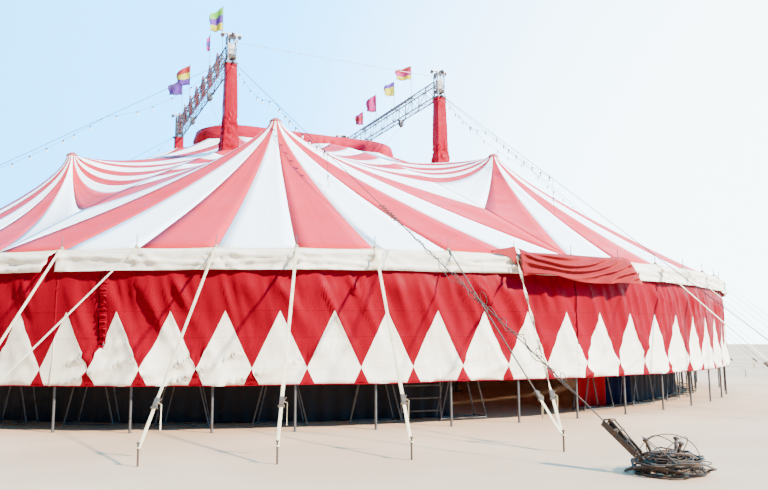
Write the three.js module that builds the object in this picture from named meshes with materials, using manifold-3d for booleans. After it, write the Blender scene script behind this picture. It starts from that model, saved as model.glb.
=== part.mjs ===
// A four-mast circus big top: a round tent on 64 side poles, with eight leaning queen poles,
// two trusses across four lattice masts, and an oblong lantern hung between the trusses.
// Millimetres, +Z up. The origin is the tent's centre on the ground. The two trusses run along Y.
import * as THREE from "three";
import { mergeVertices } from "three/addons/utils/BufferGeometryUtils.js";
import Module from "manifold-3d";

const wasm = await Module();
wasm.setup();

// The room that two touching pieces keep
const FIT = 0.4;

// Side poles and eave
const TENT_RADIUS = 14400;
const BAYS = 64;
const BAY = 360 / BAYS;
const EAVE_TURN = 3.7; // the ring of side poles stands this many degrees round from the truss axes
const POLE_RADIUS = 28;
const POLE_TOP = 3145;
const PIN_HALF = 8;
const PIN_TOP = 3440;

// Roof membrane, drawn thicker than the cloth
const CLOTH = 20;
const EAVE_TOP = POLE_TOP + FIT + CLOTH;
const ROOF_EDGE = TENT_RADIUS - PIN_HALF - 2;
const ROOF_SWEEP = 1.28; // how much steeper the roof climbs at the eave than at the lantern's sides
const SWEEP_TURN = 0.2; // how much less that is toward the lantern's two ends
const RING_HEIGHT = 8700;
const STRIP_STEPS = [0, 0.06, 0.22, 0.55, 1];
const INNER_SAG = 400; // sag of the strips that run in to the lantern
const INNER_REACH = 6500;
const OUTER_REACH = 10500;

// Queen poles. Three stand a little apart from the rest: their places and the sag of the strips round them
const QUEEN = { radius: 8790, height: 7090, sag: 350 };
const ODD_QUEENS = new Map([
  [4, { radius: 8700, height: 6960, sag: 650 }],
  [5, { radius: 8850, height: 7210, sag: 330 }],
  [6, { radius: 8850, height: 6990, sag: 280 }],
]);
const QUEEN_FOOT = 7300;
const QUEEN_RING = 150;
const QUEEN_SHAFT = 48;

// Masts, sleeves and trusses
const MAST_X = 3720;
const MAST_Y = 4480;
const MAST_WIDTH = 300;
const MAST_HEIGHT = 10950;
const LEG = 44;
const SOLE = 40;
const MAST_PANELS = 5;
const SLEEVE_TOP = 10030;
const SLEEVE_FLARE = 7950;
const SLEEVE_BOTTOM = 7150;
const SLEEVE_BASE_WIDTH = 500;
const SLEEVE_MIDDLE_WIDTH = 380;
const SLEEVE_TOP_WIDTH = 350;
const TRUSS_BOTTOM = 10080;
const TRUSS_TOP = 10680;
const TRUSS_PANELS = 6;
const BRACE = 22;
const HOIST_Y = 1500;

// Lantern, an oblong drum with round ends
const LANTERN_LENGTH = 7600;
const LANTERN_WIDTH = 3000;
const LANTERN_CORNER = 28; // polar angle, from the long axis, where the mast seams meet the lantern
const HOOD_TOP = 9200;

// Guys and stays
const STAKE_RADIUS = 17700;
const STAKE_TOP = 300;
const ANCHOR_RADIUS = 19600;
const ANCHOR_ANGLE = 17.1; // polar angles of a mast's two anchors, from the X axis
const ANCHOR_ANGLE_REAR = 83;
const COLLAR_HEIGHT = 46;

// Wall, seat trestles and the drape behind them
const WALL_HEM = 800;
const WALL_TOP = POLE_TOP - FIT;
const VALANCE_HEM = 2790;
const WALL_INNER = TENT_RADIUS + POLE_RADIUS + FIT;
const WALL_OUTER = WALL_INNER + 14;
const VALANCE_INNER = WALL_OUTER + FIT;
const VALANCE_OUTER = VALANCE_INNER + 12;
const TRESTLE_RADIUS = 13600;
const TRESTLES = 48;
const TRESTLE_ZERO = 242.55; // polar angle of the first front trestle
const TRESTLE_WIDTH = 1050;
const TRESTLE_TOP = 1900;
const DRAPE_RADIUS = 13050;

// The way in. Poles are numbered from the second one past the seam to the front left mast.
const POLE_ZERO = EAVE_TURN + 5 * 45 + BAY; // polar angle of pole 0
const ENTRANCE_POLE = 7;
const UNGUYED_POLES = [7, 8];
const ENTRANCE_TRESTLES = { after: 5, count: 1 };

const UP = new THREE.Vector3(0, 0, 1);
const rad = THREE.MathUtils.degToRad;
const range = (count) => Array.from({ length: count }, (_, index) => index);
const point = (x, y, z = 0) => new THREE.Vector3(x, y, z);
const polar = (radius, degrees, z = 0) =>
  point(radius * Math.cos(rad(degrees)), radius * Math.sin(rad(degrees)), z);
const poleAngle = (pole) => POLE_ZERO + BAY * pole;
const mix = (a, b, share) => a.clone().lerp(b, share);

// A closed geometry as a solid that can be joined and cut
function solid(geometry) {
  const bare = geometry.clone();
  bare.deleteAttribute("normal");
  bare.deleteAttribute("uv");
  const merged = mergeVertices(bare, 1e-3);
  return new wasm.Manifold(
    new wasm.Mesh({
      numProp: 3,
      vertProperties: merged.attributes.position.array,
      triVerts: new Uint32Array(merged.index.array),
    }),
  );
}

function join(solids) {
  return solids.reduce((whole, piece) => whole.add(piece));
}

function geometryOf(shape) {
  const { numProp, vertProperties, triVerts } = shape.getMesh();
  const places = new Float32Array((vertProperties.length / numProp) * 3);
  for (let v = 0; v < places.length / 3; v++)
    places.set(vertProperties.subarray(v * numProp, v * numProp + 3), v * 3);
  const geometry = new THREE.BufferGeometry();
  geometry.setAttribute("position", new THREE.BufferAttribute(places, 3));
  geometry.setIndex(new THREE.BufferAttribute(triVerts, 1));
  geometry.computeVertexNormals();
  return geometry;
}

function finish(color, roughness, metalness = 0) {
  return new THREE.MeshStandardMaterial({ color, roughness, metalness, flatShading: true });
}

const STEEL = finish(0x9a9c9e, 0.5, 0.8);
const ROOF_CLOTH = finish(0xffb4b8, 0.6);
const WALL_CLOTH = finish(0xd6242f, 0.55);
const CREAM_CLOTH = finish(0xf1ead8, 0.7);
const SLEEVE_CLOTH = finish(0xd93440, 0.5);
const WEBBING = finish(0xe9dfc4, 0.8);
const DARK_CLOTH = finish(0x14151c, 0.9);
const FADED_CLOTH = finish(0xc8666a, 0.8);
const SIGN_FRAME = finish(0x6b3a35, 0.6, 0.3);
const FLAG_CLOTH = finish(0xe8508c, 0.8);

const tent = new THREE.Group();

// Adds one named piece to a group, and gives it back so that it can be placed
function piece(group, name, shape, material) {
  const mesh = new THREE.Mesh(geometryOf(shape), material);
  mesh.name = name;
  group.add(mesh);
  return mesh;
}

function section(name) {
  const group = new THREE.Group();
  group.name = name;
  tent.add(group);
  return group;
}

// The turn that takes the Z axis to the direction from one point to another, with X kept level
function turnAlong(from, to) {
  const along = to.clone().sub(from).normalize();
  const side = new THREE.Vector3().crossVectors(UP, along);
  if (side.length() < 1e-6) side.set(1, 0, 0);
  side.normalize();
  const rise = new THREE.Vector3().crossVectors(along, side);
  const turn = new THREE.Matrix4().makeBasis(side, rise, along);
  return turn.setPosition(mix(from, to, 0.5));
}

// A straight bar of rectangular section
function bar(from, to, width, depth = width) {
  const geometry = new THREE.BoxGeometry(width, depth, from.distanceTo(to));
  return solid(geometry.applyMatrix4(turnAlong(from, to)));
}

// A straight tube of few sides
function tube(from, to, radius, sides = 6) {
  const geometry = new THREE.CylinderGeometry(radius, radius, from.distanceTo(to), sides);
  geometry.rotateX(Math.PI / 2);
  return solid(geometry.applyMatrix4(turnAlong(from, to)));
}

function box(width, depth, height, x, y, bottom) {
  const geometry = new THREE.BoxGeometry(width, depth, height);
  return solid(geometry.translate(x, y, bottom + height / 2));
}

function extrude(outline, height, bottom) {
  const geometry = new THREE.ExtrudeGeometry(outline, { depth: height, bevelEnabled: false });
  return solid(geometry.translate(0, 0, bottom));
}

// An upright band that follows the side poles from one polar angle to another, straight between poles
function curtain(angles, inner, outer, bottom, top) {
  const outside = angles.map((angle) => polar(outer, angle));
  const inside = angles.map((angle) => polar(inner, angle)).reverse();
  const outline = new THREE.Shape([...outside, ...inside].map(({ x, y }) => new THREE.Vector2(x, y)));
  return extrude(outline, top - bottom, bottom);
}

// The pole angles from one pole to another, with both ends drawn in by half the fit
function bayAngles(firstPole, lastPole) {
  const trim = THREE.MathUtils.radToDeg(FIT / TENT_RADIUS);
  const angles = range(lastPole - firstPole + 1).map((step) => poleAngle(firstPole + step));
  angles[0] += trim;
  angles[angles.length - 1] -= trim;
  return angles;
}

// A sheet with thickness: its top faces, the same faces let down, and a band round every free edge
function thicken(corners, faces, thickness) {
  const keys = new Map();
  const places = [];
  const shared = corners.map((corner) => {
    const key = corner.toArray().map((value) => Math.round(value * 100)).join();
    if (!keys.has(key)) {
      keys.set(key, places.length);
      places.push(corner);
    }
    return keys.get(key);
  });
  const tops = faces.map((face) => face.map((corner) => shared[corner]));
  const under = places.length;
  const edges = new Set(tops.flatMap(([a, b, c]) => [`${a},${b}`, `${b},${c}`, `${c},${a}`]));
  const sides = [...edges].map((edge) => edge.split(",").map(Number))
    .filter(([a, b]) => !edges.has(`${b},${a}`))
    .flatMap(([a, b]) => [[b, a, a + under], [b, a + under, b + under]]);
  const bottoms = tops.map(([a, b, c]) => [c + under, b + under, a + under]);
  const lowered = places.map((corner) => corner.clone().setZ(corner.z - thickness));
  const geometry = new THREE.BufferGeometry().setFromPoints([...places, ...lowered]);
  geometry.setIndex([...tops, ...bottoms, ...sides].flat());
  return solid(geometry);
}

// Roof

// Distance from the centre to the lantern's outline in a direction given in radians
function lanternReach(direction) {
  const cosine = Math.abs(Math.cos(direction));
  const sine = Math.abs(Math.sin(direction));
  const side = LANTERN_WIDTH / 2;
  const centre = LANTERN_LENGTH / 2 - side;
  if (side * cosine <= centre * sine) return side / sine;
  return centre * cosine + Math.sqrt(side * side - centre * centre * sine * sine);
}

function lanternPoint(degrees) {
  return polar(lanternReach(rad(degrees)), degrees);
}

// Height of the roof without its eight peaks
function sweepHeight({ x, y }) {
  const reach = lanternReach(Math.atan2(y, x));
  const share = (ROOF_EDGE - Math.hypot(x, y)) / (ROOF_EDGE - reach);
  const toEnd = (reach - LANTERN_WIDTH / 2) / (LANTERN_LENGTH / 2 - LANTERN_WIDTH / 2);
  const sweep = ROOF_SWEEP - SWEEP_TURN * toEnd;
  return EAVE_TOP + (RING_HEIGHT - EAVE_TOP) * (1 - Math.max(0, 1 - share) ** sweep);
}

const queenOf = (sector) => ODD_QUEENS.get(sector) ?? QUEEN;
const queenAngle = (sector) => 22.5 + 45 * sector;
const seamAngle = (seam) => EAVE_TURN + 45 * seam;

// Plan distances along a seam where strips that fan out from a queen pole at equal angles meet it
function fanDistances(innerDistance, strips) {
  const across = QUEEN.radius * Math.sin(rad(22.5));
  const along = QUEEN.radius * Math.cos(rad(22.5));
  const first = Math.atan((ROOF_EDGE - along) / across);
  const last = Math.atan((innerDistance - along) / across);
  const turn = (last - first) / strips;
  return range(strips + 1).map((strip) => along + across * Math.tan(first + turn * strip));
}

// The angle on the lantern's outline where a seam ends
function seamEnd(seam) {
  const quarter = 90 * Math.floor(seam / 2);
  if (seam % 2 === 0) return quarter;
  return seam % 4 === 1 ? quarter + LANTERN_CORNER : quarter + 90 - LANTERN_CORNER;
}

// Eleven plan points along a seam, from the eave to the lantern. An odd seam passes a mast.
function seamPoints(seam, side) {
  const eave = polar(ROOF_EDGE, seamAngle(seam));
  const inner = lanternPoint(seamEnd(seam));
  const sx = Math.sign(inner.x);
  const sy = Math.sign(inner.y);
  const mast = point(sx * MAST_X, sy * MAST_Y);
  const goal = seam % 2 ? mast : inner;
  const strips = seam % 2 ? 8 : 10;
  const distances = fanDistances(goal.length(), strips);
  const points = distances.map((distance) =>
    mix(eave, goal, (ROOF_EDGE - distance) / (ROOF_EDGE - goal.length())));
  if (seam % 2) return [...points, mix(mast, inner, 0.5), inner];
  const across = point(goal.y - eave.y, eave.x - goal.x).setLength((side * FIT) / 2);
  return points.map((place) => place.add(across));
}

// The closed outline of a sector in plan, one point for each edge between two strips
function sectorOutline(sector) {
  const start = seamPoints(sector, 1);
  const end = seamPoints(sector + 1, -1);
  const eave = range(7).map((bay) => polar(ROOF_EDGE, seamAngle(sector) + BAY * (bay + 1)));
  const lantern = lanternPoint((seamEnd(sector) + seamEnd(sector + 1)) / 2);
  return [start[0], ...eave, ...end, lantern, ...start.slice(1).reverse()];
}

// How far a strip hangs below the straight line from its queen pole to a place on the outline.
// Toward the eave it falls like a witch's hat, and toward the lantern it hangs like a hammock.
function stripSag(outerSag, edge, step) {
  const inward = THREE.MathUtils.clamp((OUTER_REACH - edge.length()) / (OUTER_REACH - INNER_REACH), 0, 1);
  const hat = outerSag * 2.6 * Math.sqrt(step) * (1 - step);
  const hammock = INNER_SAG * 4 * step * (1 - step);
  return (1 - inward) * hat + inward * hammock;
}

// The sector's sheet: strips from the queen pole's ring out to the outline
function sectorSheet(sector) {
  const { radius, height, sag } = queenOf(sector);
  const queen = polar(radius, queenAngle(sector));
  const outline = sectorOutline(sector);
  const corners = [];
  for (const edge of outline) {
    const outward = edge.clone().sub(queen);
    const start = queen.clone().addScaledVector(outward, QUEEN_RING / outward.length());
    const edgeHeight = sweepHeight(edge);
    for (const step of STRIP_STEPS) {
      const line = height + (edgeHeight - height) * step;
      corners.push(mix(start, edge, step).setZ(line - stripSag(sag, edge, step)));
    }
  }
  const across = STRIP_STEPS.length;
  const faces = [];
  outline.forEach((_, strip) => {
    const here = strip * across;
    const next = ((strip + 1) % outline.length) * across;
    for (let step = 0; step < across - 1; step++) {
      const [a, b, c, d] = [here + step, here + step + 1, next + step + 1, next + step];
      faces.push([a, b, c], [a, c, d]);
    }
  });
  return { corners, faces };
}

function roofQuarter(quarter) {
  const sheets = [2 * quarter, 2 * quarter + 1].map(sectorSheet);
  const shift = sheets[0].corners.length;
  const corners = sheets.flatMap((sheet) => sheet.corners);
  const faces = [...sheets[0].faces, ...sheets[1].faces.map((face) => face.map((corner) => corner + shift))];
  const middle = lanternPoint(seamEnd(2 * quarter + 1));
  const hole = SLEEVE_BASE_WIDTH + 2 * FIT;
  const shaft = box(hole, hole, 2000, Math.sign(middle.x) * MAST_X, Math.sign(middle.y) * MAST_Y, 6500);
  return thicken(corners, faces, CLOTH).subtract(shaft);
}

const CORNERS = [
  { name: "back_right", sx: 1, sy: 1 },
  { name: "back_left", sx: -1, sy: 1 },
  { name: "front_left", sx: -1, sy: -1 },
  { name: "front_right", sx: 1, sy: -1 },
];

const roof = section("roof");
CORNERS.forEach(({ name }, quarter) => piece(roof, `roof_${name}`, roofQuarter(quarter), ROOF_CLOTH));

// Queen poles

// One queen pole, leaning out along X, with a sole plate, a head disc in the roof's ring and a cap
function queenPole({ radius, height }) {
  const head = point(radius, 0, height);
  const foot = point(QUEEN_FOOT, 0, 20);
  const shaft = tube(foot, head, QUEEN_SHAFT);
  const sole = box(320, 320, 40, QUEEN_FOOT, 0, 0);
  const rim = QUEEN_RING - 1.5;
  const profile = [[0, -60], [rim, -60], [rim, 8], [125, 30], [60, 75], [0, 80]];
  const cap = new THREE.LatheGeometry(profile.map(([r, z]) => new THREE.Vector2(r, z)), 10);
  cap.rotateX(Math.PI / 2).translate(radius, 0, height);
  const clipped = shaft.subtract(box(600, 600, 400, radius, 0, height));
  return join([solid(cap), clipped.subtract(box(600, 600, 400, QUEEN_FOOT, 0, -400)), sole]);
}

const queens = section("queen_poles");
range(8).forEach((sector) => {
  const pole = piece(queens, `queen_pole_${sector + 1}`, queenPole(queenOf(sector)), STEEL);
  pole.rotation.z = rad(queenAngle(sector));
});

// Masts and sleeves

// A lattice mast of four legs, with slanted bars to and fro on each face, a sole plate and a head gear
function mast() {
  const reach = MAST_WIDTH / 2 - LEG / 2;
  const corners = [[reach, reach], [-reach, reach], [-reach, -reach], [reach, -reach]];
  const rise = (MAST_HEIGHT - SOLE) / MAST_PANELS;
  const parts = [box(700, 700, SOLE, 0, 0, 0)];
  for (const [x, y] of corners) parts.push(box(LEG, LEG, MAST_HEIGHT - SOLE + 5, x, y, SOLE - 5));
  for (const side of range(4))
    for (const panel of range(MAST_PANELS)) {
      const [x0, y0] = corners[(side + (panel % 2)) % 4];
      const [x1, y1] = corners[(side + ((panel + 1) % 2)) % 4];
      const low = SOLE + panel * rise + 60;
      parts.push(bar(point(x0, y0, low), point(x1, y1, low + rise - 120), BRACE));
    }
  parts.push(box(MAST_WIDTH, MAST_WIDTH, 24, 0, 0, MAST_HEIGHT - 24));
  parts.push(box(60, MAST_WIDTH + 260, 60, 0, 0, MAST_HEIGHT - 5));
  parts.push(box(MAST_WIDTH + 320, 60, 60, 0, 0, MAST_HEIGHT + 50));
  return join(parts);
}

// A square cloth sleeve round the mast, from under the roof to the mast's bare head
function sleeve() {
  const levels = [
    [SLEEVE_BOTTOM, 0],
    [SLEEVE_BOTTOM, SLEEVE_BASE_WIDTH],
    [SLEEVE_FLARE, SLEEVE_BASE_WIDTH],
    [SLEEVE_FLARE + 500, SLEEVE_MIDDLE_WIDTH],
    [SLEEVE_TOP, SLEEVE_TOP_WIDTH],
    [SLEEVE_TOP, 0],
  ];
  const profile = levels.map(([z, width]) => new THREE.Vector2(width * Math.SQRT1_2, z));
  const outer = new THREE.LatheGeometry(profile, 4);
  outer.rotateX(Math.PI / 2).rotateZ(Math.PI / 4);
  const bore = MAST_WIDTH + 2 * FIT;
  return solid(outer).subtract(box(bore, bore, 4000, 0, 0, SLEEVE_BOTTOM - 500));
}

const masts = section("masts");
const sleeves = section("mast_sleeves");
const mastShape = mast();
const sleeveShape = sleeve();
for (const { name, sx, sy } of CORNERS) {
  piece(masts, `mast_${name}`, mastShape, STEEL).position.set(sx * MAST_X, sy * MAST_Y, 0);
  piece(sleeves, `mast_sleeve_${name}`, sleeveShape, SLEEVE_CLOTH).position.set(sx * MAST_X, sy * MAST_Y, 0);
}

// Trusses

// Where a hoist cable reaches the lantern's hood
const EYE = point(3250, 1050, HOOD_TOP - 120);

// A box truss between two masts, with two hoists below it and a cable from each to the lantern
function truss(side) {
  const half = MAST_Y - MAST_WIDTH / 2 - FIT;
  const reach = MAST_WIDTH / 2 - LEG / 2;
  const low = TRUSS_BOTTOM + LEG / 2;
  const high = TRUSS_TOP - LEG / 2;
  const parts = [];
  for (const x of [-reach, reach])
    for (const z of [low, high]) parts.push(box(LEG, 2 * half, LEG, x, 0, z - LEG / 2));
  const step = (2 * half - LEG) / TRUSS_PANELS;
  for (const panel of range(TRUSS_PANELS)) {
    const y0 = -half + LEG / 2 + panel * step;
    const y1 = y0 + step;
    for (const x of [-reach, reach]) {
      parts.push(bar(point(x, y0, low), point(x, (y0 + y1) / 2, high), BRACE));
      parts.push(bar(point(x, (y0 + y1) / 2, high), point(x, y1, low), BRACE));
    }
    parts.push(bar(point(-reach, y0, high), point(reach, y1, high), BRACE));
  }
  for (const y of [-half + LEG / 2, half - LEG / 2])
    for (const x of [-reach, reach]) parts.push(box(LEG, LEG, high - low, x, y, low));
  for (const y of [-HOIST_Y, HOIST_Y]) {
    parts.push(box(MAST_WIDTH, 60, 30, 0, y, TRUSS_BOTTOM - 20));
    parts.push(box(180, 160, 260, 0, y, TRUSS_BOTTOM - 270));
    const eye = point(side * (EYE.x - MAST_X), Math.sign(y) * EYE.y, EYE.z + 66);
    parts.push(bar(point(0, y, TRUSS_BOTTOM - 200), eye, 14));
  }
  return join(parts);
}

const trusses = section("trusses");
piece(trusses, "truss_left", truss(-1), STEEL).position.x = -MAST_X;
piece(trusses, "truss_right", truss(1), STEEL).position.x = MAST_X;

const SIGN_HALF_HEIGHT = 430;

// A row of plain diamond frames that stand on a rail on the outer face of the left truss
function signRow() {
  const signs = 7;
  const pitch = 1130;
  const back = -MAST_WIDTH / 2 - FIT;
  const middle = (TRUSS_BOTTOM + TRUSS_TOP) / 2;
  const diamond = (halfWidth, halfHeight) => {
    const corners = [[0, -halfHeight], [halfWidth, 0], [0, halfHeight], [-halfWidth, 0]];
    return corners.map(([x, y]) => new THREE.Vector2(x, y));
  };
  const frame = new THREE.Shape(diamond(330, SIGN_HALF_HEIGHT));
  frame.holes.push(new THREE.Path(diamond(190, 250)));
  const parts = [box(40, (signs - 1) * pitch + 500, 30, back - 30, 0, middle - SIGN_HALF_HEIGHT + 20)];
  for (const sign of range(signs)) {
    const geometry = new THREE.ExtrudeGeometry(frame, { depth: 60, bevelEnabled: false });
    geometry.rotateX(Math.PI / 2).rotateZ(-Math.PI / 2);
    geometry.translate(back, (sign - 3) * pitch, middle);
    parts.push(solid(geometry));
  }
  return join(parts);
}

piece(trusses, "sign_row", signRow(), SIGN_FRAME).position.x = -MAST_X;

// Flags on thin staffs, on a rail that lies on the truss. The wind turns them all one way.
function flagRow(flags) {
  const rail = TRUSS_TOP + FIT;
  const ends = flags.map(([y]) => y);
  const length = Math.max(...ends) - Math.min(...ends) + 120;
  const parts = [box(MAST_WIDTH, length, 30, 0, (Math.max(...ends) + Math.min(...ends)) / 2, rail)];
  for (const [y, bottom, top, width] of flags) {
    parts.push(box(24, 24, top - rail, 0, y, rail));
    const cloth = new THREE.BoxGeometry(width, 14, top - bottom);
    cloth.translate(width / 2, 0, (top + bottom) / 2).rotateZ(rad(FLAG_ANGLE)).translate(0, y, 0);
    parts.push(solid(cloth));
  }
  return join(parts);
}

// Each flag: place along the truss, bottom, top and width
const FLAG_ANGLE = 154;
const LEFT_FLAGS = [
  [-3250, 11630, 12500, 420],
  [-1290, 11690, 12320, 120],
  [2370, 11660, 12510, 540],
  [4000, 11770, 12440, 600],
];
const RIGHT_FLAGS = [
  [-2380, 11420, 12000, 590],
  [-920, 11250, 11870, 400],
  [790, 11090, 11880, 410],
  [2140, 10900, 11530, 340],
];
const flagRows = section("flags");
piece(flagRows, "flags_left", flagRow(LEFT_FLAGS), FLAG_CLOTH).position.x = -MAST_X;
piece(flagRows, "flags_right", flagRow(RIGHT_FLAGS), FLAG_CLOTH).position.x = MAST_X;

// Lantern

// The lantern's outline, the same sixteen corners as the roof's inner edge, set in or out by an amount
function lanternOutline(offset) {
  const corners = range(8).flatMap((seam) => {
    const next = seam === 7 ? 360 : seamEnd(seam + 1);
    return [lanternPoint(seamEnd(seam)), lanternPoint((seamEnd(seam) + next) / 2)];
  });
  const stretchX = 1 + offset / (LANTERN_LENGTH / 2);
  const stretchY = 1 + offset / (LANTERN_WIDTH / 2);
  return corners.map(({ x, y }) => new THREE.Vector2(x * stretchX, y * stretchY));
}

function oblongRing(outer, inner, bottom, height) {
  const outline = new THREE.Shape(lanternOutline(outer));
  outline.holes.push(new THREE.Path(lanternOutline(inner)));
  return extrude(outline, height, bottom);
}

const FRAME_EDGE = -2 * FIT;
const RAIL = 60;
const FRAME_TOP = 9060;

// Two oblong hoops with posts between them
function lanternFrame() {
  const parts = [
    oblongRing(FRAME_EDGE, -RAIL, RING_HEIGHT - 60, RAIL),
    oblongRing(FRAME_EDGE, -RAIL, FRAME_TOP - RAIL, RAIL),
  ];
  const posts = lanternOutline(-RAIL / 2).filter((_, corner) => corner % 2);
  for (const { x, y } of posts) parts.push(box(40, 40, FRAME_TOP - RING_HEIGHT, x, y, RING_HEIGHT - 30));
  return join(parts);
}

// The hood: a deep skirt and a crowned top of cloth over the frame
function lanternHood() {
  const layer = (offset, bottom, top) => extrude(new THREE.Shape(lanternOutline(offset)), top - bottom, bottom);
  const outer = layer(110, RING_HEIGHT + 30, FRAME_TOP + CLOTH);
  const crown = layer(-120, FRAME_TOP, HOOD_TOP - 60);
  const ridge = layer(-420, FRAME_TOP, HOOD_TOP);
  const hollow = layer(FIT, RING_HEIGHT - 300, FRAME_TOP + FIT);
  const eyes = [];
  for (const sx of [-1, 1])
    for (const sy of [-1, 1]) eyes.push(box(50, 50, 200, sx * EYE.x, sy * EYE.y, EYE.z - 140));
  return join([outer, crown, ridge, ...eyes]).subtract(hollow);
}

const lantern = section("lantern");
piece(lantern, "lantern_frame", lanternFrame(), STEEL);
piece(lantern, "lantern_hood", lanternHood(), SLEEVE_CLOTH);

// Side poles, guys and wall

// Side poles with their pins, joined by the wire rope that runs round inside their heads
function sidePoles(firstPole, count) {
  const angles = range(count).map((step) => poleAngle(firstPole + step));
  const ropeHalf = 9;
  const ropeBottom = POLE_TOP - 80;
  const parts = [
    curtain(angles, TENT_RADIUS - ropeHalf, TENT_RADIUS + ropeHalf, ropeBottom, ropeBottom + 2 * ropeHalf),
  ];
  for (const angle of angles) {
    const pole = new THREE.BoxGeometry(POLE_RADIUS * 1.8, POLE_RADIUS * 1.8, POLE_TOP);
    const pinFoot = polar(TENT_RADIUS, angle, POLE_TOP - 10);
    parts.push(solid(pole.translate(TENT_RADIUS, 0, POLE_TOP / 2).rotateZ(rad(angle))));
    parts.push(tube(pinFoot, pinFoot.clone().setZ(PIN_TOP), PIN_HALF, 3));
  }
  return join(parts);
}

const GUY_BAND_INNER = TENT_RADIUS + PIN_HALF + FIT;
const GUY_BAND_OUTER = VALANCE_OUTER + 2;
const GUY_BAND_BOTTOM = POLE_TOP + FIT;
const GUY_BAND_TOP = GUY_BAND_BOTTOM + 40;

// The place of a pole's stake: the two poles beside the way in share one, and so do poles 0 and 1
function stakeAngle(pole) {
  if (pole === 0 || pole === 1) return poleAngle(0.3);
  if (pole === 5 || pole === 6) return 263.3;
  return poleAngle(pole) - 0.7;
}

// The webbing band round the eave, with a guy and a stake at each pole
function guyLines(firstPole, count) {
  const angles = range(count).map((step) => poleAngle(firstPole + step));
  const parts = [curtain(angles, GUY_BAND_INNER, GUY_BAND_OUTER, GUY_BAND_BOTTOM, GUY_BAND_TOP)];
  for (const step of range(count)) {
    const pole = firstPole + step;
    if (UNGUYED_POLES.includes(pole)) continue;
    const start = polar(GUY_BAND_OUTER - 10, poleAngle(pole), GUY_BAND_TOP - 16);
    const foot = polar(STAKE_RADIUS, stakeAngle(pole), STAKE_TOP - 60);
    const stake = new THREE.BoxGeometry(44, 44, STAKE_TOP);
    parts.push(bar(start, foot, 30, 14));
    parts.push(solid(stake.translate(STAKE_RADIUS, 0, STAKE_TOP / 2).rotateZ(rad(stakeAngle(pole)))));
  }
  return join(parts);
}

const edge = section("eave");
piece(edge, "side_poles_front", sidePoles(-9, 32), STEEL);
piece(edge, "side_poles_back", sidePoles(23, 32), STEEL);
piece(edge, "guy_lines_front", guyLines(-9, 32), WEBBING);
piece(edge, "guy_lines_back", guyLines(23, 32), WEBBING);

const walls = section("walls");
const wallCurtain = (first, last) =>
  curtain(bayAngles(first, last), WALL_INNER, WALL_OUTER, WALL_HEM, WALL_TOP);
piece(walls, "wall_curtain_front", wallCurtain(0, ENTRANCE_POLE), WALL_CLOTH);
piece(walls, "wall_curtain_right", wallCurtain(ENTRANCE_POLE, 26), WALL_CLOTH);
piece(walls, "wall_curtain_back", wallCurtain(26, 45), WALL_CLOTH);
piece(walls, "wall_curtain_left", wallCurtain(45, BAYS), WALL_CLOTH);
const valance = curtain(bayAngles(-1, BAYS - 1), VALANCE_INNER, VALANCE_OUTER, VALANCE_HEM, POLE_TOP);
piece(walls, "valance", valance, CREAM_CLOTH);

const AWNING_TOP = 3210;

// The faded flap over the way in, laid on the eave band and hanging in front of the valance
function awning() {
  const angles = [6.06, 6.6, 7.1, 7.6, 8.15].map(poleAngle);
  const section = [
    [GUY_BAND_INNER + 12, AWNING_TOP],
    [GUY_BAND_OUTER + 30, AWNING_TOP],
    [TENT_RADIUS + 270, AWNING_TOP - 140],
    [TENT_RADIUS + 345, AWNING_TOP - 550],
  ];
  const corners = angles.flatMap((angle) => section.map(([radius, z]) => polar(radius, angle, z)));
  const faces = [];
  for (let row = 0; row < angles.length - 1; row++)
    for (let step = 0; step < section.length - 1; step++) {
      const here = row * section.length + step;
      const next = here + section.length;
      faces.push([here, here + 1, next + 1], [here, next + 1, next]);
    }
  return thicken(corners, faces, AWNING_TOP - GUY_BAND_TOP - FIT);
}

piece(walls, "entrance_awning", awning(), FADED_CLOTH);

// Mast stays

const STAY = 20;
const TENSIONER = { from: 900, to: 300, width: 120, depth: 100 }; // lengths along the stay before its foot
const STRING_TIE = 0.26; // share of the stay where the bulb string is tied to it
const STRING_SAG = 450;
const HEAP_BESIDE = 330; // from the stay's foot to the middle of its heap of wire
const HEAP_RADIUS = 420;

// Two stays from a collar on the mast's head, each with a tensioner and a cluster of stakes at its foot
function stays(sx, sy) {
  const head = point(sx * MAST_X, sy * MAST_Y, SLEEVE_TOP + FIT + COLLAR_HEIGHT / 2);
  const bore = MAST_WIDTH + 2 * FIT;
  const collar = box(bore + 60, bore + 60, COLLAR_HEIGHT, head.x, head.y, head.z - COLLAR_HEIGHT / 2)
    .subtract(box(bore, bore, 200, head.x, head.y, head.z - 100));
  const parts = [collar];
  for (const angle of [ANCHOR_ANGLE, ANCHOR_ANGLE_REAR]) {
    const place = polar(ANCHOR_RADIUS, angle);
    const foot = point(sx * place.x, sy * place.y, 0);
    const out = foot.clone().sub(head).setZ(0).normalize();
    const start = head.clone().addScaledVector(out, MAST_WIDTH / 2 + 75);
    const end = foot.clone().setZ(120);
    parts.push(bar(start.clone().addScaledVector(out, -60), start.clone().addScaledVector(out, 20), 80, 40));
    parts.push(bar(start, end, STAY));
    const up = (distance) => mix(end, start, distance / start.distanceTo(end));
    parts.push(bar(up(TENSIONER.from), up(TENSIONER.to), TENSIONER.width, TENSIONER.depth));
    const across = new THREE.Vector3().crossVectors(UP, out);
    parts.push(...anchor(foot.clone().addScaledVector(across, sx * sy * HEAP_BESIDE)));
    parts.push(swag(start.clone().addScaledVector(across, STAY + 6), mix(start, end, STRING_TIE), STRING_SAG));
  }
  return join(parts);
}

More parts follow.
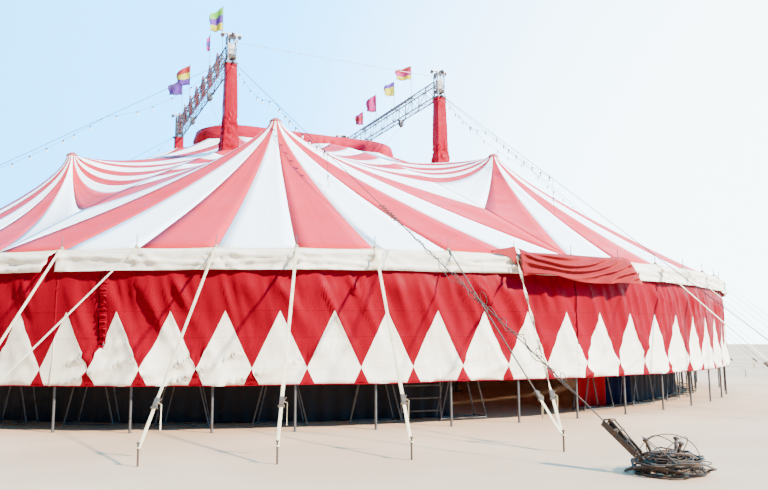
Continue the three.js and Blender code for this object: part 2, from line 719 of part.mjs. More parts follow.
// A ring of stakes in a heap of wound wire
function anchor(middle) {
  const height = 170;
  const heap = new THREE.CylinderGeometry(HEAP_RADIUS - 70, HEAP_RADIUS, height, 8);
  heap.rotateX(Math.PI / 2).translate(middle.x, middle.y, height / 2);
  const stakes = range(3).map((stake) => {
    const lean = polar(190, 120 * stake);
    const top = middle.clone().addScaledVector(lean, 1.25).setZ(390);
    return bar(middle.clone().add(lean).setZ(100), top, 44);
  });
  return [solid(heap), ...stakes];
}

// A bulb string that hangs from the mast's head and is tied to the stay
function swag(from, to, sag) {
  const middle = mix(from, to, 0.5);
  middle.z -= 2 * sag;
  const route = new THREE.QuadraticBezierCurve3(from, middle, to);
  const wire = new THREE.Shape([[-8, -8], [8, -8], [8, 8], [-8, 8]].map(([x, y]) => new THREE.Vector2(x, y)));
  return solid(new THREE.ExtrudeGeometry(wire, { steps: 6, extrudePath: route, bevelEnabled: false }));
}

const rigging = section("rigging");
for (const { name, sx, sy } of CORNERS) piece(rigging, `mast_stays_${name}`, stays(sx, sy), STEEL);

// A cable between the heads of two masts, across from truss to truss
function headTie() {
  const reach = MAST_X - MAST_WIDTH / 2 - FIT;
  return join([
    bar(point(-reach, 0, MAST_HEIGHT - 160), point(reach, 0, MAST_HEIGHT - 160), 16),
    box(20, MAST_WIDTH, 50, -reach + 10, 0, MAST_HEIGHT - 185),
    box(20, MAST_WIDTH, 50, reach - 10, 0, MAST_HEIGHT - 185),
  ]);
}

const tieShape = headTie();
piece(rigging, "head_tie_front", tieShape, STEEL).position.y = -MAST_Y;
piece(rigging, "head_tie_back", tieShape, STEEL).position.y = MAST_Y;

// Seat trestles and drape

const TRESTLE_TURN = 360 / TRESTLES;

// The polar angles of the trestles, with the way in left open
function trestleAngles() {
  const first = TRESTLE_ZERO + TRESTLE_TURN * ENTRANCE_TRESTLES.after;
  return range(TRESTLES - ENTRANCE_TRESTLES.count).map((trestle) => first + TRESTLE_TURN * trestle);
}

// A-frames that face outward, joined by a top rail, with arms back to the drape
function seatTrestles() {
  const half = TRESTLE_WIDTH / 2;
  const apex = TRESTLE_TOP - 10;
  const frameOutline = [[-half, 0], [half, 0], [0, apex]];
  const outline = new THREE.Shape(frameOutline.map(([x, y]) => new THREE.Vector2(x, y)));
  const window = [[-half + 62, 45], [half - 62, 45], [0, apex - 160]];
  outline.holes.push(new THREE.Path(window.map(([x, y]) => new THREE.Vector2(x, y))));
  const angles = trestleAngles();
  const rail = TRESTLE_TOP - 25;
  const parts = [curtain(angles, TRESTLE_RADIUS - 25, TRESTLE_RADIUS + 25, rail - 25, rail + 25)];
  angles.forEach((angle, index) => {
    const frame = new THREE.ExtrudeGeometry(outline, { depth: 36, bevelEnabled: false });
    frame.rotateX(Math.PI / 2).translate(0, 18, 0).rotateZ(-Math.PI / 2).translate(TRESTLE_RADIUS, 0, 0);
    parts.push(solid(frame.rotateZ(rad(angle))));
    const arm = [polar(DRAPE_RADIUS + FIT, angle, rail), polar(TRESTLE_RADIUS, angle, rail)];
    if (index % 4 === 0) parts.push(bar(...arm, 36));
  });
  return join(parts);
}

const seating = section("seating");
piece(seating, "seat_trestles", seatTrestles(), STEEL);
const drape = curtain(trestleAngles(), DRAPE_RADIUS - 14, DRAPE_RADIUS, 0, TRESTLE_TOP);
piece(seating, "seat_drape", drape, DARK_CLOTH);

export default tent;
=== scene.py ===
# The looks of a four-mast circus big top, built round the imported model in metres, +Z up.
# The two trusses run along Y, and the way in faces -Y.
from math import atan2, copysign, cos, exp, floor, hypot, pi, radians, sin, sqrt

import bpy
import bmesh
from mathutils import Matrix, Vector, noise


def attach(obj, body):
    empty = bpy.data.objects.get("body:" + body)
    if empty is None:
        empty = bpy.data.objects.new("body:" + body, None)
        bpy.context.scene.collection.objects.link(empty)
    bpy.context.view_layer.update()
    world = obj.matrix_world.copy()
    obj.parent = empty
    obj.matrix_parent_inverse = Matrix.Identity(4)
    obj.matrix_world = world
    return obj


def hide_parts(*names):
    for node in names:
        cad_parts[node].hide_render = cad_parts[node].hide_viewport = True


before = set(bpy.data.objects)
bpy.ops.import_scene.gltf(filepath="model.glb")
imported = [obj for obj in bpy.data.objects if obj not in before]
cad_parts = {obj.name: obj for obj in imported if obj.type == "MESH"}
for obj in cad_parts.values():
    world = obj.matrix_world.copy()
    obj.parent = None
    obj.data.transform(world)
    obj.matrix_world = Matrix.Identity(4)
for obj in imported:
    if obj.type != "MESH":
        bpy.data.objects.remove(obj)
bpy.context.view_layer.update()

# Sizes that the model's source holds too
TENT_RADIUS = 14.4
POLES = 64
BAY = 360 / POLES
BAY_LENGTH = 1.413
EAVE_TURN = 3.7
POLE_ZERO = EAVE_TURN + 5 * 45 + BAY
POLE_TOP = 3.145
PIN_TOP = 3.44
ROOF_EDGE = 14.39
EAVE_TOP = 3.1654
ROOF_SWEEP = 1.28
SWEEP_TURN = 0.2
RING_HEIGHT = 8.7
INNER_SAG = 0.4
QUEEN = (8.79, 7.09, 0.35)
ODD_QUEENS = {4: (8.7, 6.96, 0.65), 5: (8.85, 7.21, 0.33), 6: (8.85, 6.99, 0.28)}
QUEEN_RING = 0.15
MAST_X = 3.72
MAST_Y = 4.48
MAST_WIDTH = 0.3
MAST_HEIGHT = 10.95
SLEEVE_TOP = 10.03
SLEEVE_BOTTOM = 7.15
TRUSS_BOTTOM = 10.08
TRUSS_TOP = 10.68
LANTERN_LENGTH = 7.6
LANTERN_WIDTH = 3.0
LANTERN_CORNER = 28
HOOD_TOP = 9.2
FRAME_TOP = 9.06
STAKE_RADIUS = 17.7
STAKE_TOP = 0.3
ANCHOR_RADIUS = 19.6
ANCHOR_ANGLES = (17.1, 83)
WALL_RADIUS = 14.438
WALL_HEM = 0.8
WALL_TOP = 3.144
VALANCE_RADIUS = 14.452
VALANCE_HEM = 2.79
TRESTLE_RADIUS = 13.6
TRESTLE_TOP = 1.9
DRAPE_RADIUS = 13.05
CORNERS = {"back_right": (1, 1), "back_left": (-1, 1), "front_left": (-1, -1), "front_right": (1, -1)}


def polar(radius, degrees, z=0.0):
    angle = radians(degrees)
    return Vector((radius * cos(angle), radius * sin(angle), z))


def lift(z):
    return Vector((0, 0, z))


def mast_place(sx, sy, z=0.0):
    return Vector((sx * MAST_X, sy * MAST_Y, z))


def level_side(along):
    """The level direction across another direction."""
    return lift(1).cross(along).normalized()


def pole_angle(pole):
    return POLE_ZERO + BAY * pole


def on_ring(pole, radius, z):
    """A point on the ring of side poles, straight between two poles."""
    first = floor(pole)
    start, end = polar(radius, pole_angle(first), z), polar(radius, pole_angle(first + 1), z)
    return start.lerp(end, pole - first)


def smooth(low, high, value):
    share = min(1.0, max(0.0, (value - low) / (high - low)))
    return share * share * (3 - 2 * share)


def rough(x, y, z=0.0):
    """Noise between -1 and 1."""
    return noise.noise(Vector((x, y, z)))


# Camera

CAMERA_PLACE = (-8.757, -25.745, 1.55)
CAMERA_TURNS = (64.24, 7.54, -0.38)
CAMERA_LENS = 33.71


def make_camera():
    """A camera from its heading, upward tilt and roll in degrees, with a lens in millimetres."""
    heading, tilt, roll = (radians(angle) for angle in CAMERA_TURNS)
    turn = Matrix.Rotation(heading - pi / 2, 4, "Z") @ Matrix.Rotation(tilt + pi / 2, 4, "X")
    data = bpy.data.cameras.new("camera")
    data.lens = CAMERA_LENS
    data.sensor_width = 36
    data.clip_end = 400
    camera = bpy.data.objects.new("camera", data)
    camera.matrix_world = Matrix.Translation(CAMERA_PLACE) @ turn @ Matrix.Rotation(roll, 4, "Z")
    bpy.context.collection.objects.link(camera)
    bpy.context.scene.camera = camera


make_camera()


# Materials


class Nodes:
    """A node tree. Each method adds a node and gives back its output."""

    def __init__(self, tree):
        self.tree = tree

    def put(self, socket, value):
        if isinstance(value, bpy.types.NodeSocket):
            self.tree.links.new(value, socket)
        elif isinstance(value, tuple) and len(value) == 3 and socket.type == "RGBA":
            socket.default_value = (*value, 1)
        else:
            socket.default_value = value

    def node(self, kind, output, inputs, **settings):
        node = self.tree.nodes.new(f"ShaderNode{kind}")
        for name, value in settings.items():
            setattr(node, name, value)
        for socket, value in inputs.items():
            self.put(node.inputs[socket], value)
        return node.outputs[output]


class Shade(Nodes):
    """A material's nodes."""

    def __init__(self, name, roughness=0.5, metallic=0.0):
        self.material = bpy.data.materials.new(name)
        self.material.use_nodes = True
        super().__init__(self.material.node_tree)
        self.shader = self.tree.nodes["Principled BSDF"]
        self.shader.inputs["Roughness"].default_value = roughness
        self.shader.inputs["Metallic"].default_value = metallic
        self.place = self.node("TexCoord", "Object", {})

    def math(self, operation, first, second=0.0):
        return self.node("Math", 0, {0: first, 1: second}, operation=operation)

    def noise(self, scale, detail=3.0, stretch=(1, 1, 1), place=None):
        stretched = self.node("VectorMath", 0, {0: place or self.place, 1: stretch}, operation="MULTIPLY")
        return self.node("TexNoise", "Fac", {"Vector": stretched, "Scale": scale, "Detail": detail})

    def ramp(self, value, low, high, start=0.0, end=1.0):
        ends = {"Value": value, "From Min": low, "From Max": high, "To Min": start, "To Max": end}
        return self.node("MapRange", 0, ends, interpolation_type="SMOOTHSTEP")

    def patch(self, scale, detail, low, high, end=1.0, stretch=(1, 1, 1), place=None):
        """Patches of noise that rise from 0 to an end value."""
        return self.ramp(self.noise(scale, detail, stretch, place), low, high, 0.0, end)

    def mix(self, share, first, second):
        return self.node("Mix", 2, {"Factor": share, 6: first, 7: second}, data_type="RGBA")

    def part(self, place, axis):
        return self.node("SeparateXYZ", axis, {0: place})

    def sewn(self):
        """The cloth's own coordinates: across the strip and along it."""
        return self.node("UVMap", 0, {}, uv_map="cloth")

    def line(self, value, level, width):
        """1 on a line where the value is at a level, and 0 away from it."""
        away = self.math("ABSOLUTE", self.math("SUBTRACT", value, level))
        return self.ramp(away, 0.0, width, 1.0, 0.0)

    def bump(self, height, distance, strength=1.0, under=None):
        inputs = {"Height": height, "Distance": distance, "Strength": strength}
        if under is not None:
            inputs["Normal"] = under
        return self.node("Bump", 0, inputs)

    def finish(self, color, normal=None, roughness=None):
        self.put(self.shader.inputs["Base Color"], color)
        if normal is not None:
            self.put(self.shader.inputs["Normal"], normal)
        if roughness is not None:
            self.put(self.shader.inputs["Roughness"], roughness)
        return self.material


DULL = 0.03


def coated_cloth(name, color, shade, soil, roughness, crease=0.012, welds=(), sheen=0.0):
    """PVC-coated tent cloth: a fine weave, soft creases, fading, rain streaks and weld lines."""
    cloth = Shade(name, roughness)
    cloth.shader.inputs["Specular IOR Level"].default_value = DULL
    cloth.shader.inputs["Sheen Weight"].default_value = sheen
    worn = cloth.mix(cloth.patch(0.55, 4, 0.35, 0.7), color, shade)
    streaked = cloth.mix(cloth.patch(1.6, 5, 0.52, 0.78, 0.55, (2.2, 2.2, 0.16)), worn, soil)
    soiled = cloth.mix(cloth.patch(9.0, 6, 0.62, 0.8, 0.35), streaked, soil)
    folds = cloth.bump(cloth.noise(2.3, 5, (1, 1, 0.45)), crease)
    fine = cloth.bump(cloth.noise(14.0, 4), 0.0025, 0.6, folds)
    relief = cloth.bump(cloth.noise(260.0, 2), 0.0004, 0.5, fine)
    if welds:
        height = cloth.part(cloth.place, 2)
        weld, *others = (cloth.line(height, level, 0.012) for level in welds)
        for other in others:
            weld = cloth.math("MAXIMUM", weld, other)
        soiled = cloth.mix(cloth.math("MULTIPLY", weld, 0.3), soiled, soil)
        relief = cloth.bump(weld, 0.003, 0.8, relief)
    gloss = cloth.ramp(cloth.noise(3.0, 4), 0.3, 0.7, roughness - 0.08, roughness + 0.12)
    return cloth.finish(soiled, relief, gloss)


def strip_cloth(name, color, shade, soil):
    """Roof cloth: strips welded at their edges, whose seams follow the cloth's own coordinates."""
    cloth = Shade(name, 0.55)
    cloth.shader.inputs["Specular IOR Level"].default_value = DULL
    sewn = cloth.sewn()
    worn = cloth.mix(cloth.patch(0.4, 4, 0.35, 0.7), color, shade)
    streaked = cloth.mix(cloth.patch(7.0, 5, 0.55, 0.8, 0.35, (1.0, 0.12, 1), sewn), worn, soil)
    across = cloth.math("FRACT", cloth.part(sewn, 0))
    seam = cloth.ramp(cloth.math("ABSOLUTE", cloth.math("SUBTRACT", across, 0.5)), 0.468, 0.492)
    soiled = cloth.mix(cloth.math("MULTIPLY", seam, 0.25), streaked, soil)
    folds = cloth.bump(cloth.noise(5.0, 4, (1.0, 0.25, 1), sewn), 0.012)
    fine = cloth.bump(cloth.noise(5.0, 5), 0.004, 0.6, folds)
    weave = cloth.bump(cloth.noise(220.0, 2), 0.0004, 0.5, fine)
    relief = cloth.bump(seam, 0.003, 0.8, weave)
    return cloth.finish(soiled, relief, cloth.ramp(cloth.noise(2.0, 4), 0.3, 0.7, 0.45, 0.65))


def steel(name, color, stain, roughness=0.45, metallic=0.75, amount=0.45, scale=6.0):
    """Metal with blotches, runs of stain and fine scratches."""
    metal = Shade(name, roughness, metallic)
    blotch = metal.patch(scale, 6, 0.62 - amount * 0.3, 0.8 - amount * 0.2)
    fine = metal.patch(scale * 7, 4, 0.5, 0.75, 0.4)
    shade = metal.mix(fine, color, tuple(0.72 * channel for channel in color))
    pits = metal.bump(metal.noise(scale * 12, 4), 0.0012, 0.7)
    gloss = metal.ramp(blotch, 0.0, 1.0, roughness, min(0.95, roughness + 0.3))
    return metal.finish(metal.mix(blotch, shade, stain), pits, gloss)


def woven(name, color, dark, roughness, pitch):
    """Coarse webbing or canvas, with the threads of its weave."""
    cloth = Shade(name, roughness)
    cloth.shader.inputs["Sheen Weight"].default_value = 0.2
    thread = cloth.noise(pitch, 3)
    tone = cloth.mix(cloth.ramp(thread, 0.3, 0.7, 0.0, 0.4), color, dark)
    soiled = cloth.mix(cloth.patch(4.0, 5, 0.4, 0.75, 0.7), tone, dark)
    ribs = cloth.bump(thread, 0.0015, 0.8)
    return cloth.finish(soiled, cloth.bump(cloth.noise(6.0, 3), 0.01, 0.6, ribs))


def lamp_glass():
    glass = Shade("lamp_glass", 0.15)
    glass.shader.inputs["Coat Weight"].default_value = 0.5
    return glass.finish(glass.mix(glass.patch(40.0, 3, 0.35, 0.7), (0.85, 0.85, 0.82), (0.7, 0.7, 0.66)))


# The heights of the wall's welds
WELDS = (2.08, 1.62, 1.08)
# Each look's own colour first, then its faded and soiled colours, and its roughness
STRIPS = {
    "roof_red": ((0.54, 0.022, 0.032), (0.6, 0.032, 0.042), (0.44, 0.018, 0.026)),
    "roof_white": ((0.97, 0.96, 0.93), (0.95, 0.94, 0.91), (0.87, 0.86, 0.82)),
}
COATED = {
    "wall_red": ((0.21, 0.0, 0.008), (0.18, 0.0, 0.006), (0.1, 0.0, 0.004), 0.48, 0.012, WELDS),
    "wall_cream": ((0.95, 0.86, 0.68), (0.86, 0.75, 0.56), (0.62, 0.5, 0.36), 0.5, 0.016, WELDS),
    "valance_cream": ((0.9, 0.83, 0.68), (0.78, 0.7, 0.56), (0.46, 0.38, 0.28), 0.55),
    "cap_red": ((0.42, 0.03, 0.034), (0.38, 0.024, 0.03), (0.3, 0.02, 0.024), 0.5, 0.008),
    "sleeve_red": ((0.27, 0.0, 0.012), (0.31, 0.002, 0.016), (0.13, 0.0, 0.006), 0.42, 0.014),
    "hood_red": ((0.34, 0.006, 0.026), (0.42, 0.02, 0.04), (0.16, 0.002, 0.01), 0.5, 0.02),
    "awning_red": ((0.24, 0.016, 0.018), (0.3, 0.03, 0.028), (0.12, 0.008, 0.01), 0.75),
    # dark_drape is near-black cloth that paints the shade inside the tent under the wall's hem
    "dark_drape": ((0.018, 0.017, 0.018), (0.028, 0.026, 0.028), (0.03, 0.028, 0.026), 0.9, 0.01, (), 0.1),
    "curtain_red": ((0.3, 0.004, 0.006), (0.24, 0.003, 0.005), (0.08, 0.002, 0.003), 0.7),
    "curtain_blue": ((0.004, 0.005, 0.02), (0.006, 0.007, 0.025), (0.003, 0.003, 0.01), 0.8),
    # seam_shade is a near-black red that paints the shadow in the wall's gaps
    "seam_shade": ((0.045, 0.001, 0.003), (0.06, 0.002, 0.004), (0.01, 0.001, 0.001), 0.9),
}
WOVEN = {
    "webbing": ((0.82, 0.66, 0.38), (0.5, 0.37, 0.19), 0.8, 90.0),
    "rope": ((0.5, 0.4, 0.28), (0.22, 0.15, 0.1), 0.85, 120.0),
    "flag_yellow": ((0.6, 0.5, 0.01), (0.4, 0.42, 0.01), 0.8, 60.0),
    "flag_green": ((0.14, 0.5, 0.03), (0.08, 0.3, 0.02), 0.8, 60.0),
    "flag_pink": ((0.5, 0.004, 0.16), (0.3, 0.003, 0.1), 0.8, 60.0),
    "flag_red": ((0.4, 0.005, 0.01), (0.25, 0.003, 0.006), 0.8, 60.0),
    "flag_violet": ((0.12, 0.02, 0.3), (0.07, 0.01, 0.18), 0.8, 60.0),
}
METALS = {
    "galvanised": ((0.3, 0.3, 0.3), (0.18, 0.15, 0.13)),
    "grey_paint": ((0.09, 0.085, 0.08), (0.07, 0.05, 0.04), 0.5, 0.3),
    "seat_steel": ((0.07, 0.065, 0.06), (0.05, 0.04, 0.03), 0.5, 0.3),
    "ratchet": ((0.09, 0.07, 0.05), (0.12, 0.07, 0.04), 0.7, 0.3, 0.6, 16.0),
    "aluminium": ((0.12, 0.12, 0.125), (0.1, 0.085, 0.08), 0.5, 0.6, 0.3),
    "pale_paint": ((0.5, 0.48, 0.43), (0.24, 0.2, 0.16), 0.6, 0.1, 0.4, 10.0),
    "rust": ((0.075, 0.055, 0.04), (0.15, 0.075, 0.04), 0.8, 0.3, 0.5, 14.0),
    "wire": ((0.3, 0.28, 0.26), (0.2, 0.12, 0.08), 0.5, 0.7, 0.6, 20.0),
    "sign_paint": ((0.2, 0.05, 0.04), (0.34, 0.2, 0.16), 0.6, 0.1, 0.35, 9.0),
    "lamp_socket": ((0.03, 0.03, 0.03), (0.08, 0.07, 0.06), 0.6, 0.0, 0.2, 30.0),
}
LOOKS = {"lamp_glass": lamp_glass()}
for make, table in ((strip_cloth, STRIPS), (coated_cloth, COATED), (woven, WOVEN), (steel, METALS)):
    for name, values in table.items():
        LOOKS[name] = make(name, *values)


# Meshes


def add_piece(name, points, faces, looks, replaced=(), marks=None, cloth=None, thickness=0.0):
    """One piece of the visual model, from its points and faces. Marks give each face's look."""
    mesh = bpy.data.meshes.new(name)
    mesh.from_pydata([tuple(point) for point in points], [], faces)
    for look in looks:
        mesh.materials.append(LOOKS[look])
    if marks is not None:
        mesh.polygons.foreach_set("material_index", marks)
    mesh.polygons.foreach_set("use_smooth", [True] * len(faces))
    if cloth is None:
        work = bmesh.new()
        work.from_mesh(mesh)
        bmesh.ops.remove_doubles(work, verts=work.verts, dist=0.0001)
        work.to_mesh(mesh)
        work.free()
    else:
        layer = mesh.uv_layers.new(name="cloth")
        for loop in mesh.loops:
            layer.data[loop.index].uv = cloth[loop.vertex_index]
    mesh.update()
    made = bpy.data.objects.new(name, mesh)
    bpy.context.collection.objects.link(made)
    if thickness:
        shell = made.modifiers.new("thickness", "SOLIDIFY")
        shell.thickness = thickness
        shell.offset = 0
    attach(made, "root")
    if replaced:
        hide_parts(*replaced)
    return made


def grid_faces(columns, rows, start=0, closed=False):
    """Quads between columns of points, where each column has the same number of rows."""
    last = columns if closed else columns - 1
    faces = []
    for column in range(last):
        here, there = start + column * rows, start + (column + 1) % columns * rows
        faces += [(here + row, there + row, there + row + 1, here + row + 1) for row in range(rows - 1)]
    return faces


def grid(columns, rows, place, closed=False):
    """Points and faces of a sheet, where place gives a point from its shares across and up."""
    count = columns if closed else columns + 1
    points = [place(column / columns, row / rows) for column in range(count) for row in range(rows + 1)]
    return points, grid_faces(count, rows + 1, 0, closed)


UPRIGHT = Matrix.Identity(3)


def chamfered(x, y, across, up):
    """A rectangle of half sizes x and y, with its corners cut by an amount each way."""
    half = [(-x, -y + up), (-x + across, -y), (x - across, -y), (x, -y + up)]
    return half + [(-a, -b) for a, b in half]


class Solids:
    """Many small solids that become one piece."""

    def __init__(self):
        self.points, self.faces, self.marks = [], [], []

    def add(self, points, faces, mark=0):
        start = len(self.points)
        self.points += points
        self.faces += [tuple(corner + start for corner in face) for face in faces]
        self.marks += [mark] * len(faces)

    def loft(self, rings, mark=0, closed=False):
        """Joins rings of as many points each, with flat ends unless the rings close on themselves."""
        sides = len(rings[0])
        faces = []
        for ring in range(len(rings) if closed else len(rings) - 1):
            here, there = ring * sides, (ring + 1) % len(rings) * sides
            for side in range(sides):
                after = (side + 1) % sides
                faces.append((here + side, here + after, there + after, there + side))
        if not closed:
            faces.append(tuple(reversed(range(sides))))
            faces.append(tuple(range(len(rings) * sides - sides, len(rings) * sides)))
        self.add([point for ring in rings for point in ring], faces, mark)

    def sweep(self, path, outline, mark=0, side=None, turn=None, closed=False):
        """Carries an outline of (across, up) along a path. side is the across direction to keep."""
        path = [Vector(point) for point in path]
        rings = []
        across = side
        for index, point in enumerate(path):
            before = path[index - 1] if index or closed else point
            after = path[(index + 1) % len(path)]
            if index == len(path) - 1 and not closed:
                after = point
            along = (after - before).normalized()
            if across is None:
                across = along.orthogonal()
            level = (across - along * across.dot(along)).normalized()
            if side is None:
                across = level
            rise = along.cross(level)
            angle = turn(index / max(1, len(path) - 1)) if turn else 0.0
            one = level * cos(angle) + rise * sin(angle)
            two = rise * cos(angle) - level * sin(angle)
            rings.append([point + one * x + two * y for x, y in outline])
        self.loft(rings, mark, closed)

    def tube(self, path, radius, sides=8, mark=0, closed=False):
        turns = [2 * pi * side / sides for side in range(sides)]
        outline = [(radius * cos(turn), radius * sin(turn)) for turn in turns]
        self.sweep(path, outline, mark, closed=closed)

    def strap(self, path, width, thickness, side, mark=0, turn=None):
        x, y = width / 2, thickness / 2
        self.sweep(path, chamfered(x, y, 0.1 * x, 0.6 * y), mark, side, turn)

    def box(self, centre, size, mark=0, turn=UPRIGHT, bevel=0.12):
        """A block with bevelled long edges."""
        x, y, z = (edge / 2 for edge in size)
        cut = min(x, y) * bevel
        outline = chamfered(x, y, cut, cut)
        rings = []
        for height, scale in ((-z, 0.94), (-z + cut, 1), (z - cut, 1), (z, 0.94)):
            rings.append([turn @ Vector((a * scale, b * scale, height)) + centre for a, b in outline])
        self.loft(rings, mark)

    def lathe(self, centre, profile, sides=12, mark=0, turn=UPRIGHT):
        """A turned solid. The profile's (radius, height) pairs run from its foot to its top."""
        rings = []
        for radius, height in profile:
            ring = [polar(max(radius, 0.0005), 360 * side / sides, height) for side in range(sides)]
            rings.append([turn @ point + centre for point in ring])
        self.loft(rings, mark)

    def ring(self, centre, radius, wire, mark=0, turn=UPRIGHT, steps=24, sides=6):
        path = [turn @ polar(radius, 360 * step / steps) + centre for step in range(steps)]
        self.tube(path, wire, sides, mark, closed=True)

    def piece(self, name, looks, slot, *replaced):
        made = add_piece(name, self.points, self.faces, looks, replaced, self.marks)
        made.data.set_sharp_from_angle(angle=radians(38))


def facing(along, side=None):
    """A turn that takes Z to a direction, and Y near a side if one is given."""
    z = Vector(along).normalized()
    y = Vector(side) if side is not None else z.orthogonal()
    y = (y - z * y.dot(z)).normalized()
    return Matrix((y.cross(z), y, z)).transposed()


def span(start, end, steps, sag=0.0):
    """Points from one place to another, with a sag in the middle."""
    points = []
    for step in range(steps + 1):
        share = step / steps
        point = start.lerp(end, share)
        point.z -= 4 * sag * share * (1 - share)
        points.append(point)
    return points


# Roof

# Distances from the centre where the stripes meet, along a seam past a mast and along one between masts
MAST_SEAM = (ROOF_EDGE, 12.16, 10.54, 9.69, 8.95, 8.25, 7.5, 6.7, 5.823)
OPEN_SEAM = (ROOF_EDGE, 11.62, 9.52, 8.8, 8.15, 7.42, 6.6, 5.6, 4.5, 3.1)
STRIP_COLUMNS = 5
ROOF_STEPS = 30
MAST_HOLE = 0.24


def lantern_reach(direction):
    cosine, sine = abs(cos(direction)), abs(sin(direction))
    side = LANTERN_WIDTH / 2
    centre = LANTERN_LENGTH / 2 - side
    if side * cosine <= centre * sine:
        return side / sine
    return centre * cosine + sqrt(side * side - centre * centre * sine * sine)


def lantern_point(degrees):
    return polar(lantern_reach(radians(degrees)), degrees)


def sweep_height(x, y):
    """Height of the roof without its eight peaks."""
    reach = lantern_reach(atan2(y, x))
    share = (ROOF_EDGE - hypot(x, y)) / (ROOF_EDGE - reach)
    to_end = (reach - LANTERN_WIDTH / 2) / (LANTERN_LENGTH / 2 - LANTERN_WIDTH / 2)
    sweep = ROOF_SWEEP - SWEEP_TURN * to_end
    return EAVE_TOP + (RING_HEIGHT - EAVE_TOP) * (1 - max(0.0, 1 - share) ** sweep)


def seam_end(seam):
    quarter = 90 * (seam // 2)
    if seam % 2 == 0:
        return quarter
    return quarter + LANTERN_CORNER if seam % 4 == 1 else quarter + 90 - LANTERN_CORNER


def seam_points(seam, side):
    """Plan points along a seam from the eave to the lantern."""
    eave = polar(ROOF_EDGE, EAVE_TURN + 45 * seam)
    inner = lantern_point(seam_end(seam))
    mast = Vector((copysign(MAST_X, inner.x), copysign(MAST_Y, inner.y), 0))
    goal = mast if seam % 2 else inner
    stations = MAST_SEAM if seam % 2 else (*OPEN_SEAM, inner.length)
    points = [eave.lerp(goal, (ROOF_EDGE - r) / (ROOF_EDGE - goal.length)) for r in stations]
    if seam % 2:
        return [*points, mast.lerp(inner, 0.5), inner]
    gap = Vector((goal.y - eave.y, eave.x - goal.x, 0)).normalized() * side * 0.0002
    return [point + gap for point in points]


def sector_outline(sector):
    start, end = seam_points(sector, 1), seam_points(sector + 1, -1)
    eave = [polar(ROOF_EDGE, EAVE_TURN + 45 * sector + BAY * bay) for bay in range(1, 8)]
    lantern = lantern_point((seam_end(sector) + seam_end(sector + 1)) / 2)
    return [start[0], *eave, *end, lantern, *reversed(start[1:])]


def roof_point(queen, start, edge, edge_height, share, strip, across):
    """A point of the membrane on the line from a queen pole's ring to the sector's outline."""
    _, top, sag = queen
    place = start.lerp(edge, share)
    inward = min(1.0, max(0.0, (10.5 - edge.length) / 4))
    hat = sag * 2.6 * sqrt(share) * (1 - share)
    hammock = INNER_SAG * 4 * share * (1 - share)
    height = top + (edge_height - top) * share - (1 - inward) * hat - inward * hammock
    inside = min(1.0, (1 - share) * 6) * min(1.0, share * 5)
    billow = 0.022 * sin(pi * across) * inside
    pucker = 0.007 * rough(12 * (strip + across), 2.5 * share, 1.3) * (1 - share) * min(1.0, share * 25)
    drift = 0.02 * rough(0.5 * place.x, 0.5 * place.y, 5.0) * inside
    place.z = height - billow + pucker + drift
    return place


def sector_sheet(sector):
    queen = ODD_QUEENS.get(sector, QUEEN)
    centre = polar(queen[0], 22.5 + 45 * sector)
    outline = sector_outline(sector)
    points, cloth, strips = [], [], len(outline)
    for strip in range(strips):
        here, there = outline[strip], outline[(strip + 1) % strips]
        low, high = sweep_height(here.x, here.y), sweep_height(there.x, there.y)
        for column in range(STRIP_COLUMNS + 1):
            across = column / STRIP_COLUMNS
            edge = here.lerp(there, across)
            edge_height = low + (high - low) * across
            outward = edge - centre
            start = centre + outward * (QUEEN_RING / outward.length)
            for step in range(ROOF_STEPS + 1):
                share = (step / ROOF_STEPS) ** 1.7
                points.append(roof_point(queen, start, edge, edge_height, share, strip, across))
                cloth.append((strip + across, share * outward.length / 5))
    return points, cloth, strips


def roof_quarter(name, quarter):
    """One of the roof's four membranes, of two sectors, with a square hole for its mast."""
    points, cloth, faces, marks = [], [], [], []
    sx, sy = CORNERS[name]
    for sector in (2 * quarter, 2 * quarter + 1):
        base = len(points)
        made, sewn, strips = sector_sheet(sector)
        points += made
        cloth += sewn
        for strip in range(strips):
            start = base + strip * (STRIP_COLUMNS + 1) * (ROOF_STEPS + 1)
            # The first eave strip is red in an odd sector, and strips alternate all the way round
            mark = (strip + sector + 1) % 2
            for face in grid_faces(STRIP_COLUMNS + 1, ROOF_STEPS + 1, start):
                centre = sum((points[corner] for corner in face), Vector()) / 4
                if abs(centre.x - sx * MAST_X) < MAST_HOLE and abs(centre.y - sy * MAST_Y) < MAST_HOLE:
                    continue
                faces.append(face)
                marks.append(mark)
    looks = ["roof_red", "roof_white"]
    sheet = add_piece(
        f"roof_sheet_{name}", points, faces, looks, [f"roof_{name}"], marks, cloth, 0.004
    )


def peak_caps():
    """A shallow coated cap over the ring of each peak, with a laced brim."""
    caps = Solids()
    profile = [(0.16, -0.03), (0.168, -0.012), (0.158, 0.018), (0.13, 0.045), (0.075, 0.084), (0.0, 0.095)]
    for sector in range(8):
        radius, height, _ = ODD_QUEENS.get(sector, QUEEN)
        top = polar(radius, 22.5 + 45 * sector, height)
        caps.lathe(top, profile, 20)
        caps.ring(top + lift(0.002), 0.162, 0.008, 1, steps=28)
    caps.piece("peak_caps", ["cap_red", "rope"], "roof_cloth")


for quarter, name in enumerate(CORNERS):
    roof_quarter(name, quarter)
peak_caps()


# Wall

DIAMOND_TURN = 0.8
DIAMOND = 3.75
DIAMOND_TOP = 2.08
DIAMOND_WAIST = 1.08
DIAMOND_STEPS = (0, 0.08, 0.16, 0.24, 0.32, 0.4, 0.48, 0.56, 0.64, 0.72, 0.8, 0.9, 1)
WALLS = {
    "wall_curtain_front": (0, 7),
    "wall_curtain_right": (7, 26),
    "wall_curtain_back": (26, 45),
    "wall_curtain_left": (45, POLES),
}
SEEN_WALLS = ("wall_curtain_front", "wall_curtain_right")
SEEN_ROWS = (5, 13, 16)
HIDDEN_ROWS = (4, 10, 12)
LAP = 0.03
LACED_POLE = 0.63


